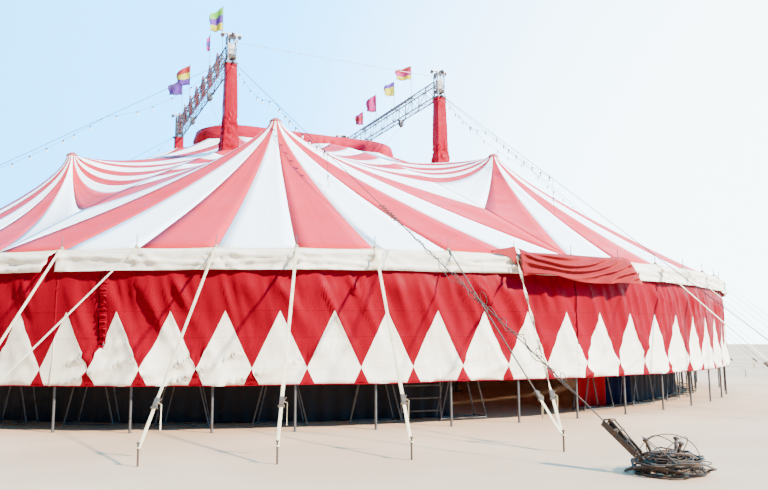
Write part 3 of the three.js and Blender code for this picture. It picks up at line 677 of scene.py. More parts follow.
def ridge(x, y, z):
    """Narrow crests between wide hollows."""
    return max(0.0, 1 - 3.2 * abs(rough(x, y, z))) ** 1.6


def off_joint(pole):
    """0 where the two ends of the wall meet, and 1 away from there."""
    return smooth(0.0, 0.4, min(abs(pole), abs(POLES - pole)))


def folds(pole, z):
    """How far the hung cloth stands out at a place, given as pole numbers round the ring and a height."""
    depth = WALL_TOP - z
    x = pole * BAY_LENGTH
    slant = x - 0.55 * depth
    upper = exp(-max(0.0, depth - 0.35) / 0.75)
    out = 0.02 * rough(0.9 * x, 0.25 * z, 3.1)
    broad = 0.25 - 0.15 * smooth(5.8, 6.6, pole)
    out += broad * ridge(1.9 * slant, 0.12 * z, 7.7) * upper * (0.7 + 0.6 * rough(0.4 * x, 0.0, 2.0))
    out += 0.09 * ridge(3.4 * x - 1.1 * depth, 0.12 * z, 5.2) * exp(-max(0.0, depth - 0.3) / 0.6)
    out += 0.03 * rough(1.9 * x + 1.3 * z, 0.6 * z, 1.9)
    low = smooth(1.8, 1.1, z)
    slack = 1 + 0.7 * smooth(4.5, 1.5, pole) - 0.4 * smooth(7.0, 10.0, pole)
    out += 0.08 * slack * low * ridge(1.1 * x - 2.6 * z, 0.4 * x, 4.4)
    out += 0.022 * rough(1.3 * x, 6 * z, 8.2) * smooth(2.4, 1.8, z)
    out += 0.005 * rough(7 * x, 5 * z, 6.6)
    return (out * off_joint(pole) + 0.03) * smooth(2.83, 2.4, z)


def wall_point(pole, z):
    lower = smooth(1.3, WALL_HEM, z)
    joint = off_joint(pole)
    billow = lower * (0.035 + 0.06 * joint * rough(0.6 * pole, 2.0, 6.1))
    hem = lower * joint * 0.025 * rough(0.9 * pole, 4.0, 2.2)
    curl = smooth(0.5, -1.0, pole) * smooth(-4.0, -2.0, pole) * lower if pole < 2 else 0.0
    point = on_ring(pole, WALL_RADIUS + folds(pole, z) + billow + 0.05 * curl, z)
    point.z += hem + 0.05 * curl * abs(rough(3 * pole, 1.0, 1.0))
    return point


def diamond_columns(first, last):
    """Pole numbers between two poles where the diamonds' outlines need a column of points."""
    half = DIAMOND / 2 / BAY
    turn = DIAMOND_TURN / BAY
    found = {first, last}
    for number in range(-6, 110):
        centre = turn + number * 2 * half
        for step in DIAMOND_STEPS:
            found |= {round(centre + step * half, 5), round(centre - step * half, 5)}
    return sorted(pole for pole in found if first <= pole <= last)


def wall_curtain(name, first, last):
    """A length of the wall. Its rows run in three bands, below, across and above the diamonds."""
    rows = SEEN_ROWS if name in SEEN_WALLS else HIDDEN_ROWS
    height = sum(rows) + 1
    points, faces, marks = [], [], []
    columns = diamond_columns(first - LAP, last)
    for pole in columns:
        place = (pole - DIAMOND_TURN / BAY) / (DIAMOND / BAY)
        off = 2 * abs(place - round(place))
        half = DIAMOND_TOP - DIAMOND_WAIST
        low = max(WALL_HEM, DIAMOND_WAIST - half * (1 - off))
        levels = (WALL_HEM, low, DIAMOND_TOP - half * off, WALL_TOP)
        for start, end, count in zip(levels, levels[1:], rows):
            points += [wall_point(pole, start + (end - start) * row / count) for row in range(count)]
        points.append(wall_point(pole, WALL_TOP))
    for face in grid_faces(len(columns), height):
        one, two, three, four = (points[corner] for corner in face)
        if (one - four).length + (two - three).length < 0.001:
            continue
        faces.append(face)
        marks.append(int(rows[0] <= face[0] % height < rows[0] + rows[1]))
    looks = ["wall_red", "wall_cream"]
    wall = add_piece(f"{name}_cloth", points, faces, looks, [name], marks, None, 0.003)


def wall_trim():
    """The rope in the wall's hem, the laced lap, and two thin near-black strips of painted shadow: one beside
    the lap and one along the slit in the front wall.
    """
    trim = Solids()
    steps = 6
    for first in range(0, POLES, 16):
        path = [wall_point(first + step / steps, WALL_HEM) for step in range(16 * steps + 1)]
        trim.tube(path, 0.009, 6)
    levels = [2.76 - 0.018 * step for step in range(74)]
    # The straps at 0.565 and 7.0 take the second look, a near-black painted shadow of the gaps in the wall
    for pole, wide, low, mark in ((LACED_POLE, 0.13, 1.43, 0), (0.565, 0.016, 1.2, 1), (7.0, 0.014, 1.1, 1)):
        edge = [wall_point(pole, z) + polar(0.01, pole_angle(pole)) for z in levels if z > low]
        if mark == 0:
            edge = [point + polar(0.014 * sin(9 * index), 0) for index, point in enumerate(edge)]
        trim.strap(edge, wide, 0.008, polar(1, pole_angle(pole) + 90), mark)
    lace = ((-0.045, 0, 0.016), (-0.02, 0.02, 0.04), (0.02, 0.025, 0.045), (0.045, 0.005, 0.018))
    for step in range(11):
        z = 2.68 - 0.115 * step
        loop = []
        for side, rise, out in lace:
            loop.append(wall_point(LACED_POLE + side, z + rise) + polar(out, pole_angle(0.7)))
        trim.tube(loop, 0.013, 6)
    trim.piece("wall_trim", ["wall_red", "seam_shade"], "wall_cloth")


for name, (first, last) in WALLS.items():
    wall_curtain(name, first, last)
wall_trim()


def valance_point(pole, z):
    depth = EAVE_TOP - z
    near = (pole - round(pole)) * BAY_LENGTH
    fan = atan2(near, depth + 0.04)
    out = 0.09 * ridge(fan * 3.2 + 5 * round(pole), 0.2 * near, 2.7) * exp(-abs(near) / 0.5)
    out += 0.06 * ridge(0.55 * pole, 6.5 * z, 3.3) + 0.01 * rough(5 * pole, 6 * z, 3.3)
    out += 0.02 * rough(1.7 * pole, 0.6 * z, 1.1) + 0.012
    lower = smooth(3.0, VALANCE_HEM, z)
    point = on_ring(pole, VALANCE_RADIUS + 0.012 + out * smooth(0.0, 0.08, depth) + 0.02 * lower, z)
    point.z += 0.02 * lower * rough(1.3 * pole, 2.0, 9.0)
    return point


def valance(name, first):
    """A quarter of the valance, with its last end pulled in to the next quarter."""

    def place(u, v):
        pole = first - 0.05 + 16 * u
        loose = smooth(first + 15.3, first + 15.95, pole)
        return valance_point(pole - 0.17 * loose * (1 - v) ** 0.7, VALANCE_HEM + (EAVE_TOP - VALANCE_HEM) * v)

    points, faces = grid(320, 12, place)
    looks, replaced = ["valance_cream"], ["valance"]
    made = add_piece(f"valance_{name}", points, faces, looks, replaced, thickness=0.003)


for name, first in (("front", 0), ("right", 16), ("back", 32), ("left", 48)):
    valance(name, first)


# Awning

AWNING_ENDS = (6.03, 8.12)


def awning_point(u, v):
    first, last = AWNING_ENDS
    top = 3.235 + 0.07 * (1 - smooth(0.0, 0.12, u)) + 0.035 * smooth(0.75, 1.0, u)
    low = 2.66 + 0.1 * exp(-((u - 0.12) / 0.16) ** 2) + 0.02 * sin(9 * u)
    sheet = 14.42 + 0.06 * smooth(0.0, 0.12, v) + 0.34 * v ** 0.8
    slope = v - 0.95 * sin(pi * min(1.0, 0.12 + 0.95 * u)) * 0.55 + 0.35 * u
    swag = 1 - abs(sin(10.0 * slope + 3.0 * rough(2.2 * u, 1.8 * v, 1.0)))
    loose = smooth(0.0, 0.2, v) * smooth(0.0, 0.07, u) * smooth(1.0, 0.94, u)
    sheet += 0.12 * swag * loose + 0.025 * rough(7 * u, 6 * v, 0.4) * loose
    shift = -0.1 * v * (1 - smooth(0.0, 0.2, u)) + 0.05 * v * smooth(0.8, 1.0, u)
    pole = first + (last - first) * u + shift
    return on_ring(pole, sheet, top + (low - top) * v ** 1.1 - 0.02 * swag * loose)


def awning():
    """The flap over the way in, with the ties and turned corners at its ends."""
    points, faces = grid(84, 40, awning_point)
    replaced = ["entrance_awning"]
    made = add_piece("awning_cloth", points, faces, ["awning_red"], replaced, thickness=0.004)
    ties = Solids()
    # Each place is given as its pole, radius and height
    rope = [on_ring(*place) for place in ((6, 14.41, 3.31), (5.85, 14.43, 3.27), (5.62, 14.46, 3.2))]
    ties.tube(rope, 0.012, 6)
    tie = [on_ring(*place) for place in ((8.16, 14.68, 2.75), (8.3, 14.6, 2.85), (8.45, 14.48, 3.0))]
    ties.strap(tie, 0.03, 0.005, polar(1, 284))
    right = ((8.11, 14.44, 3.26), (8.3, 14.6, 2.86), (8.14, 14.72, 2.68))
    left = ((5.98, 14.47, 3.33), (5.6, 14.5, 3.22), (5.86, 14.56, 3.1), (6.04, 14.62, 2.8))
    for corner, pole, mark in ((right, 8.2, 1), (left, 6, 0)):
        front = [on_ring(*place) for place in corner]
        ties.loft([front, [point - polar(0.012, pole_angle(pole)) for point in front]], mark)
    ties.piece("awning_ties", ["awning_red", "curtain_red"], "faded_cloth")


awning()


# Masts, sleeves and trusses

LEG = 0.022
LEG_REACH = MAST_WIDTH / 2 - LEG
MAST_PANELS = 27
TRUSS_PANELS = 16
HOISTS = (-1.5, 1.5)
# Where the lifting cables end on the lantern, from its centre
EYE = (3.25, 1.05)
# Height and half width of the ties round a sleeve
SLEEVE_TIES = ((8.12, 0.2), (9.97, 0.172))
WHEEL = ((0.02, -0.01), (0.07, -0.005), (0.055, 0.02), (0.07, 0.045), (0.02, 0.05))
SMALL_WHEEL = ((0.02, -0.01), (0.06, 0), (0.05, 0.02), (0.06, 0.04), (0.02, 0.05))
HOIST_WHEEL = ((0.01, 0), (0.06, 0.005), (0.05, 0.04), (0.06, 0.075), (0.01, 0.08))


def lattice(solids, corners, levels, radius):
    """Slanted bars to and fro between four legs, with a level ring at each joint."""
    for low, high in zip(levels, levels[1:]):
        for side in range(4):
            start, end = corners[side], corners[(side + 1) % 4]
            if side % 2:
                start, end = end, start
            solids.tube([start + lift(low), end + lift(high)], radius, 6)
            solids.tube([start + lift(high), end + lift(high)], radius, 6)


def mast(name, sx, sy):
    """A square lattice mast with its sole plate, head plate, crossed beams, wheels and blocks."""
    made = Solids()
    centre = mast_place(sx, sy)
    corners = [centre + Vector((LEG_REACH * a, LEG_REACH * b, 0)) for a, b in CORNERS.values()]
    for corner in corners:
        made.tube([corner + lift(z) for z in (0.03, 5.0, MAST_HEIGHT)], LEG, 10)
    levels = [0.05 + (MAST_HEIGHT - 0.1) * panel / MAST_PANELS for panel in range(MAST_PANELS + 1)]
    lattice(made, corners, levels, 0.0095)
    made.box(centre + lift(0.02), (0.7, 0.7, 0.04), bevel=0.02)
    made.box(centre + lift(MAST_HEIGHT - 0.012), (0.3, 0.3, 0.024), bevel=0.04)
    made.box(centre + lift(MAST_HEIGHT + 0.08), (0.62, 0.06, 0.06))
    made.box(centre + lift(MAST_HEIGHT + 0.025), (0.06, 0.56, 0.06))
    for sign in (-1, 1):
        wheel = centre + Vector((-0.02, 0.26 * sign, MAST_HEIGHT - 0.04))
        made.lathe(wheel, WHEEL, 16, 1, facing((1, 0, 0)))
        wheel = centre + Vector((0.27 * sign, 0.02, MAST_HEIGHT + 0.02))
        made.lathe(wheel, SMALL_WHEEL, 16, 1, facing((0, 1, 0)))
    made.box(centre + lift(10.52), (0.2, 0.2, 0.34), 2)
    made.box(centre + lift(10.27), (0.27, 0.27, 0.1), 1)
    made.piece(f"mast_lattice_{name}", ["galvanised", "rust", "pale_paint"], "steel", f"mast_{name}")


def squareness(turn):
    """How near a direction is to a side of a square, from 1 at the side's middle down to its corner."""
    return max(abs(cos(turn)), abs(sin(turn)))


def sleeve(name, sx, sy):
    """A square cloth sleeve, pulled in by its ties and wrinkled and spread at its foot."""

    def place(u, v):
        turn = 2 * pi * u
        across, along = cos(turn), sin(turn)
        z = SLEEVE_BOTTOM + (SLEEVE_TOP - SLEEVE_BOTTOM) * v
        low = smooth(8.2, 7.4, z)
        half = 0.168 + 0.026 * smooth(9.9, 8.7, z) + 0.075 * low
        crumple = 0.008 + 0.04 * smooth(8.55, 8.1, z)
        soft = half / squareness(turn) ** (0.94 - 0.3 * low)
        soft += crumple * rough(1.6 * across + 3 * sx, 1.6 * along + 5 * sy, 4.4 * z)
        soft += 0.9 * crumple * ridge(1.3 * across, 1.3 * along, 5.5 * z)
        for tie, _ in SLEEVE_TIES:
            soft -= 0.014 * exp(-(((z - tie) / 0.03) ** 2))
        soft = max(soft, (MAST_WIDTH / 2 + 0.004) / squareness(turn))
        return sx * MAST_X + soft * across, sy * MAST_Y + soft * along, z

    points, faces = grid(72, 70, place, True)
    looks, replaced = ["sleeve_red"], [f"mast_sleeve_{name}"]
    made = add_piece(f"sleeve_{name}", points, faces, looks, replaced, thickness=0.003)
    ties = Solids()
    for tie, half in SLEEVE_TIES:
        reaches = [(half / squareness(radians(angle)) ** 0.9, angle) for angle in range(0, 360, 9)]
        ties.tube([mast_place(sx, sy, tie) + polar(*reach) for reach in reaches], 0.009, 6, closed=True)
    ties.piece(f"sleeve_ties_{name}", ["sleeve_red"], "sleeve_cloth")


def truss(name, side):
    """A box truss between two masts, with its hoists and their cables to the lantern."""
    made = Solids()
    half = MAST_Y - MAST_WIDTH / 2 - 0.0004
    low, high = TRUSS_BOTTOM + LEG, TRUSS_TOP - LEG
    x = side * MAST_X
    left, right = x - LEG_REACH, x + LEG_REACH
    chords = [(left, low), (right, low), (right, high), (left, high)]
    for cx, cz in chords:
        made.tube([(cx, y, cz) for y in (-half, 0, half)], 0.024, 10)
    step = 2 * (half - 0.03) / TRUSS_PANELS
    for panel in range(TRUSS_PANELS + 1):
        y = -half + 0.03 + panel * step
        for face in range(4):
            (ax, az), (bx, bz) = chords[face], chords[(face + 1) % 4]
            made.tube([(ax, y, az), (bx, y, bz)], 0.011, 6)
            if panel < TRUSS_PANELS:
                start, end = (y + step, y) if (panel + face) % 2 else (y, y + step)
                made.tube([(ax, start, az), (bx, end, bz)], 0.011, 6)
    for y in HOISTS:
        below = Vector((x, y, TRUSS_BOTTOM))
        made.box(below - lift(0.012), (0.3, 0.08, 0.03), 1)
        made.box(below - lift(0.13), (0.17, 0.15, 0.2), 2)
        made.lathe(below - Vector((0.04, 0, 0.24)), HOIST_WHEEL, 16, 1, facing((1, 0, 0)))
        made.tube([below - lift(0.28), (side * EYE[0], copysign(EYE[1], y), 9.146)], 0.006, 6, 3)
    made.piece(f"truss_lattice_{name}", ["aluminium", "rust", "grey_paint", "wire"], "steel", f"truss_{name}")


for name, (sx, sy) in CORNERS.items():
    mast(name, sx, sy)
    sleeve(name, sx, sy)
for name, side in (("left", -1), ("right", 1)):
    truss(name, side)


# Flags

FLAG_ANGLE = 154
# Each flag's place along its truss, lower and upper edge, width and bands of colour from below
FLAGS = {
    "left": [
        (-3.25, 11.63, 12.5, 0.42, ("yellow", "violet", "green")),
        (-1.29, 11.69, 12.32, 0.12, ("pink", "violet", "pink")),
        (2.37, 11.66, 12.51, 0.54, ("violet", "yellow", "red")),
        (4.0, 11.77, 12.44, 0.6, ("violet", "violet", "violet")),
    ],
    "right": [
        (-2.38, 11.42, 12.0, 0.59, ("yellow", "pink", "red")),
        (-0.92, 11.25, 11.87, 0.4, ("yellow", "yellow", "violet")),
        (0.79, 11.09, 11.88, 0.41, ("pink", "pink", "pink")),
        (2.14, 10.9, 11.53, 0.34, ("pink", "red", "pink")),
    ],
}


def flag(name, number, x, y, bottom, top, width, bands):
    height = top - bottom
    columns, rows = 16, 12

    def place(u, v):
        wave = sin(7 * u + 1.3 * number + 1.5 * v) * 0.07 * u + 0.04 * rough(3 * u, 2 * v, number)
        droop = 0.12 * u * u * height
        z = bottom + (height - 0.03) * v * (1 - 0.25 * u) - droop * v + 0.03 * sin(9 * u) * u
        along = width * (u - 0.06 * sin(6 * v) * u)
        return Vector((x, y, z)) + polar(along, FLAG_ANGLE) + polar(wave, FLAG_ANGLE + 90)

    points, faces = grid(columns, rows, place)
    marks = [min(2, 3 * (face[0] % (rows + 1)) // rows) for face in faces]
    looks = [f"flag_{band}" for band in bands]
    made = add_piece(f"flag_{name}_{number + 1}", points, faces, looks, (), marks, None, 0.002)


def flag_row(name, side):
    """The flags on one truss, and their staffs on a rail with feet."""
    staffs = Solids()
    x = side * MAST_X
    places = [row[0] for row in FLAGS[name]]
    middle, length = (max(places) + min(places)) / 2, max(places) - min(places) + 0.12
    rail = TRUSS_TOP + 0.0154
    staffs.box(Vector((x, middle, rail)), (0.05, length, 0.03))
    for place in places:
        staffs.box(Vector((x, place, rail)), (0.3, 0.05, 0.03))
    for number, (y, bottom, top, width, bands) in enumerate(FLAGS[name]):
        staffs.tube([(x, y, TRUSS_TOP), (x, y, top - 0.01)], 0.009, 8)
        staffs.lathe(Vector((x, y, top - 0.02)), ((0.0, 0), (0.016, 0.006), (0.016, 0.014), (0.0, 0.02)), 8)
        flag(name, number, x, y, bottom, top, width, bands)
    staffs.piece(f"flag_staffs_{name}", ["aluminium"], "steel", f"flags_{name}")


flag_row("left", -1)
flag_row("right", 1)


# Lantern

HOOD_COLUMNS = 220
SKIRT_ROWS = 12
CROWN_ROWS = 16
SKIRT_HEM = 8.6
SKIRT_HEIGHT = 0.46


def lantern_outline(share, offset):
    """A point set out from the lantern's outline at a share of its round, with the spine and outward way."""
    point = lantern_point(360 * share)
    centre = LANTERN_LENGTH / 2 - LANTERN_WIDTH / 2
    spine = Vector((max(-centre, min(centre, point.x)), 0, 0))
    outward = (point - spine).normalized()
    return point + outward * offset, spine, outward


def skirt_point(share, v):
    point, _, outward = lantern_outline(share, 0.0)
    puff = 0.045 * abs(sin(34 * pi * share)) * sin(pi * min(1, v * 1.2))
    crumple = 0.03 * rough(3 * point.x, 3 * point.y, 5 * v)
    place = point + outward * (0.06 + 0.04 * sin(pi * v) + puff + crumple)
    height = SKIRT_HEM + SKIRT_HEIGHT * v + 0.012 * rough(4 * point.x, 4 * point.y, 1)
    return Vector((place.x, place.y, height))


def crown_point(share, v):
    point, spine, _ = lantern_outline(share, 0.06)
    place = point.lerp(spine, v)
    rise = sin(pi / 2 * v) ** 0.8
    height = FRAME_TOP + 0.012 + (HOOD_TOP - FRAME_TOP - 0.03) * rise
    height += 0.016 * rough(2.6 * place.x, 2.6 * place.y, 2) * sin(pi * v)
    return Vector((place.x, place.y, height))


def lantern_hood():
    """The hood with its puffed skirt, and the eyes that the lifting cables hold it by."""
    points = []
    for column in range(HOOD_COLUMNS):
        share = column / HOOD_COLUMNS
        points += [skirt_point(share, row / SKIRT_ROWS) for row in range(SKIRT_ROWS)]
        points += [crown_point(share, row / CROWN_ROWS) for row in range(CROWN_ROWS + 1)]
    faces = grid_faces(HOOD_COLUMNS, SKIRT_ROWS + CROWN_ROWS + 1, 0, True)
    replaced = ["lantern_hood"]
    made = add_piece("lantern_cover", points, faces, ["hood_red"], replaced, thickness=0.004)
    eyes = Solids()
    for sx, sy in CORNERS.values():
        x, y = sx * EYE[0], sy * EYE[1]
        eyes.box(Vector((x, y, 9.05)), (0.05, 0.05, 0.18))
        eyes.ring(Vector((x, y, 9.13)), 0.03, 0.008, 0, facing((0, 1, 0)), 16)
    eyes.piece("lantern_eyes", ["grey_paint"], "steel")


lantern_hood()


# Eave: side poles, webbing, guys and stakes

UNGUYED_POLES = (7, 8)
ROPE_GUY = 5
TWISTED_GUY = 6
POLE_PROFILE = (
    (0.04, 0), (0.04, 0.008), (0.022, 0.012), (0.022, 1.6), (0.022, 3.08), (0.018, 3.1), (0.018, POLE_TOP)
)
PIN_PROFILE = ((0.0075, POLE_TOP - 0.05), (0.0075, PIN_TOP - 0.02), (0.004, PIN_TOP))
STAKE_PROFILE = (
    (0.014, 0),
    (0.014, STAKE_TOP - 0.03),
    (0.022, STAKE_TOP - 0.022),
    (0.02, STAKE_TOP - 0.003),
    (0.006, STAKE_TOP),
)


def stake_angle(pole):
    """Poles 0 and 1 share a stake, and so do poles 5 and 6."""
    if pole in (0, 1):
        return pole_angle(0.3)
    if pole in (5, 6):
        return 263.3
    return pole_angle(pole) - 0.7


def side_poles(name, first, count):
    made = Solids()
    path = [polar(TENT_RADIUS, pole_angle(first + step), POLE_TOP - 0.07) for step in range(count)]
    made.tube(path, 0.008, 6, 1)
    for step in range(count):
        foot = polar(TENT_RADIUS, pole_angle(first + step))
        made.lathe(foot, POLE_PROFILE, 12)
        made.lathe(foot, PIN_PROFILE, 8)
        clip = foot + polar(0.036, pole_angle(first + step), 2.95)
        made.box(clip, (0.02, 0.03, 0.05), 1, facing((0, 0, 1), foot))
    made.piece(f"side_poles_round_{name}", ["grey_paint", "rust"], "steel", f"side_poles_{name}")


def guy(made, pole):
    """A webbing guy with its ratchet, its lower strap, a loose tail and the stake."""
    start = polar(TENT_RADIUS + 0.05, pole_angle(pole), POLE_TOP + 0.05)
    foot = polar(STAKE_RADIUS - 0.03, stake_angle(pole), STAKE_TOP - 0.07)
    along = (foot - start).normalized()
    side = level_side(foot - start)
    ratchet = start.lerp(foot, 0.83)
    twisted = pole == TWISTED_GUY
    twists = 6 * pi if twisted else 0.25 * sin(3.7 * pole)
    # The rope guy is a real rope, drawn in the dark ratchet look: its darkness is painted shade
    if pole == ROPE_GUY:
        made.tube(span(start, ratchet, 8, 0.01), 0.011, 8, 1)
    else:
        path = span(start, ratchet, 24 if twisted else 8, 0.01)
        made.strap(path, 0.05, 0.004, side, 0, lambda share: twists * share)
    made.strap(span(ratchet, foot, 4, 0.004), 0.045, 0.004, side)
    turn = facing(along, side)
    made.box(ratchet, (0.045, 0.06, 0.15), 1, turn)
    made.box(ratchet + along * 0.09, (0.03, 0.09, 0.03), 1, turn)
    handle = [side * 0.02, side * 0.06 - along * 0.07, side * -0.01 - along * 0.08]
    made.tube([ratchet + place for place in handle], 0.006, 6, 1)
    low = ratchet + side * 0.07 - lift(0.26 + 0.1 * abs(sin(2.3 * pole)))
    tail = [ratchet + side * 0.02, ratchet + side * 0.075 - lift(0.02), low]
    made.strap(tail, 0.045, 0.005, side.cross(along))
    stake = polar(STAKE_RADIUS, stake_angle(pole))
    made.lathe(stake, STAKE_PROFILE, 10, 1)
    made.ring(stake + lift(STAKE_TOP - 0.07), 0.025, 0.009, steps=14)


def knot(made, pole):
    """The lashing of rope and webbing round a pin."""
    centre = polar(TENT_RADIUS, pole_angle(pole), EAVE_TOP)
    turn = facing((0.25, 0.1 * pole % 0.3, 1))
    for level, radius in ((0.008, 0.03), (0.028, 0.034), (0.05, 0.03), (0.07, 0.02)):
        made.ring(centre + lift(level), radius, 0.011, 2, turn, 12)
    end = centre + polar(0.06, pole_angle(pole) + 40, 0.03)
    made.tube([centre + lift(0.05), end, end - lift(0.06)], 0.008, 6, 2)


def guy_lines(name, first, count):
    made = Solids()
    path = []
    for step in range((count - 1) * 8 + 1):
        sag = 0.016 * sin(pi * (step % 8) / 8)
        path.append(on_ring(first + step / 8, TENT_RADIUS + 0.046, POLE_TOP + 0.022 - sag))
    made.strap(path, 0.05, 0.006, lift(1))
    for pole in range(first, first + count):
        knot(made, pole)
        if pole not in UNGUYED_POLES:
            guy(made, pole)
    made.piece(f"guys_{name}", ["webbing", "ratchet", "rope"], "webbing", f"guy_lines_{name}")


for name, first in (("front", -9), ("back", 23)):
    side_poles(name, first, 32)
    guy_lines(name, first, 32)


# Mast stays

STRING_STEPS = 24
LAMP_SOCKET = ((0.014, 0.0), (0.02, -0.006), (0.02, -0.05), (0.016, -0.052))
LAMP_BULB = ((0.014, 0.0), (0.028, -0.02), (0.032, -0.04), (0.024, -0.062), (0.004, -0.072))
# The tensioner's ends, back from the stay's foot
TENSIONER_TOP = 0.76
TENSIONER_FOOT = 0.18
# No wire of a heap lies lower than this
HEAP_FLOOR = 0.012


def lamp(made, place):
    """A festoon lamp that hangs from its socket."""
    made.lathe(place, LAMP_SOCKET, 8, 1)
    made.lathe(place - lift(0.05), LAMP_BULB, 10, 2)


def light_string(made, start, end):
    """A lamp string from the mast's head to a tie on the stay, on along it, and with its end hanging free."""
    tie, last = start.lerp(end, 0.225), start.lerp(end, 0.44)
    across = level_side(end - start) * 0.026
    for first, final, sag, count in ((start + across, tie, 0.36, 6), (tie, last, 0.12, 8)):
        route = span(first, final, STRING_STEPS, sag)
        made.tube(route, 0.005, 6, 1)
        for number in range(1, count + 1):
            lamp(made, route[round(number * STRING_STEPS / (count + 0.5))])
    tail = last + Vector((0.05, 0, -1.0))
    made.tube([last, last + Vector((0.02, 0.01, -0.5)), tail], 0.005, 6, 1)
    for drop in (0.5, 1.0):
        lamp(made, last.lerp(tail, drop))


def tangle(made, start, end):
    """A knot of wire on a stay, with loose kinked strands from there to its foot."""
    along = (end - start).normalized()
    side = level_side(along)
    up = along.cross(side)
    first, last, steps = 0.62, 0.93, 69
    for strand in range(2):
        route = []
        for step in range(steps + 1):
            wide = 0.09 * sin(pi * step / steps) ** 0.5 * 1.6
            one = rough(0.22 * step, 2.3 * strand, 0.7) + 0.5 * rough(0.7 * step, 1.1, 3.0 * strand)
            two = rough(0.2 * step, 5.3, 1.9 * strand) + 0.5 * rough(0.8 * step, 4.1, 2.0 * strand)
            place = start.lerp(end, first + (last - first) * step / steps)
            route.append(place + side * (one * wide) + up * (two * wide))
        made.tube(route, 0.0065, 5)
    for loop in range(7):
        centre = start.lerp(end, 0.6 + 0.006 * loop) + side * 0.05 * rough(loop, 3.0, 1.0)
        turn = facing((rough(loop, 1, 2), rough(loop, 4, 2), 0.4))
        made.ring(centre, 0.06 + 0.03 * abs(rough(loop, 6.0, 2.0)), 0.007, 0, turn, 18, 5)
    for share, wide in ((0.8, 0.1), (0.88, 0.07), (0.91, 0.06)):
        centre = start.lerp(end, share) + up * wide * 0.8
        made.ring(centre, wide, 0.0055, 0, facing(side + up * 0.4), 20, 5)


def lying(path):
    """A path of wire, with what would be below the ground laid on it."""
    return [Vector((point.x, point.y, max(HEAP_FLOOR, point.z))) for point in path]


def anchor(made, middle):
    """Leaning stakes inside a heap of wound rusty wire, with loose loops beside it."""
    for turn in range(30):
        layer = turn % 10
        level = 0.02 + 0.19 * layer / 10 + 0.03 * rough(turn, 0.5, 0.2)
        wide = 0.33 - 0.014 * layer + 0.03 * rough(turn, 3.5, 0.9) + 0.05 * (turn // 10)
        tilt = facing((1.5 * rough(turn, 1.1, 0.1), 1.5 * rough(turn, 7.1, 0.1), 1))
        shift = Vector((0.05 * rough(turn, 2.2, 5), 0.05 * rough(turn, 6.2, 5), level))
        path = []
        for step in range(28):
            radius = wide * (1 + 0.3 * rough(0.4 * step, turn, 0.6))
            path.append(tilt @ polar(radius, 360 * step / 28) + middle + shift)
        made.tube(lying(path), 0.007 + 0.003 * (turn % 3), 5, closed=True)
    for spoke in range(14):
        angle = 26 * spoke + 11
        low = middle + polar(0.4, angle, 0.05)
        high = middle + polar(0.06, angle + 25, 0.25 + 0.05 * rough(spoke, 2.0, 1.0))
        made.tube([low, low.lerp(high, 0.5) + lift(0.06), high], 0.01, 6)
    for stake in range(3):
        foot = middle + polar(0.1, 120 * stake, 0.01)
        rise = middle + polar(0.25, 120 * stake + 20, 0.39) - foot
        tall = rise.length
        rim = ((0.018, 0.0), (0.02, tall - 0.035), (0.034, tall - 0.03), (0.032, tall - 0.008), (0.01, tall))
        made.lathe(foot, rim, 10, 0, facing(rise))
    made.tube([middle + polar(0.42, 190, 0.02), middle + polar(0.42, 252, 0.03)], 0.016, 6)
    for loop in range(4):
        leaning = facing((cos(1.9 * loop), sin(1.9 * loop), 0.55 + 0.2 * loop))
        path = [leaning @ polar(0.3 + 0.02 * loop, 12 * step) + middle + lift(0.17) for step in range(30)]
        made.tube(lying(path), 0.006, 5, closed=True)
    for loop in range(10):
        centre = middle + polar(0.32, 36 * loop + 20, 0.14)
        leaning = facing((rough(loop, 3, 1), rough(loop, 8, 1), 0.3))
        path = [leaning @ polar(0.09 + 0.025 * (loop % 3), 18 * step) + centre for step in range(20)]
        made.tube(lying(path), 0.006, 5, closed=True)


def tensioner(made, start, end):
    """An open channel with rollers across it, where the stay's cable is wound in, with a bracket behind."""
    side = level_side(end - start)
    turn = facing(end - start, side)
    length = (end - start).length
    centre = start.lerp(end, 0.5)
    up = turn @ Vector((1, 0, 0))
    if up.z < 0:
        up = -up
    for sign in (-1, 1):
        made.box(centre + side * 0.046 * sign, (0.08, 0.008, length), 0, turn, 0.2)
    made.box(centre - up * 0.036, (0.008, 0.086, length), 0, turn, 0.2)
    roller = ((0.008, 0), (0.015, 0.004), (0.015, 0.108), (0.008, 0.112))
    for share in (0.06, 0.3, 0.62, 0.94):
        made.lathe(start.lerp(end, share) - side * 0.056, roller, 10, 0, facing(side))
    spool = ((0.02, 0), (0.034, 0.006), (0.026, 0.036), (0.034, 0.066), (0.02, 0.072))
    made.lathe(start.lerp(end, 0.3) - side * 0.036, spool, 14, 0, facing(side))
    bracket = ((0.0, 0.04), (0.12, 0.1), (0.4, 0.085), (0.7, 0.06), (0.98, 0.045))
    for sign in (-1, 1):
        path = [start.lerp(end, share) + side * 0.03 * sign + up * rise for share, rise in bracket]
        made.tube(path, 0.01, 8)
    for share, rise in ((0.14, 0.1), (0.42, 0.084)):
        place = start.lerp(end, share) + up * rise
        made.tube([place - side * 0.045, place + side * 0.045], 0.014, 8)


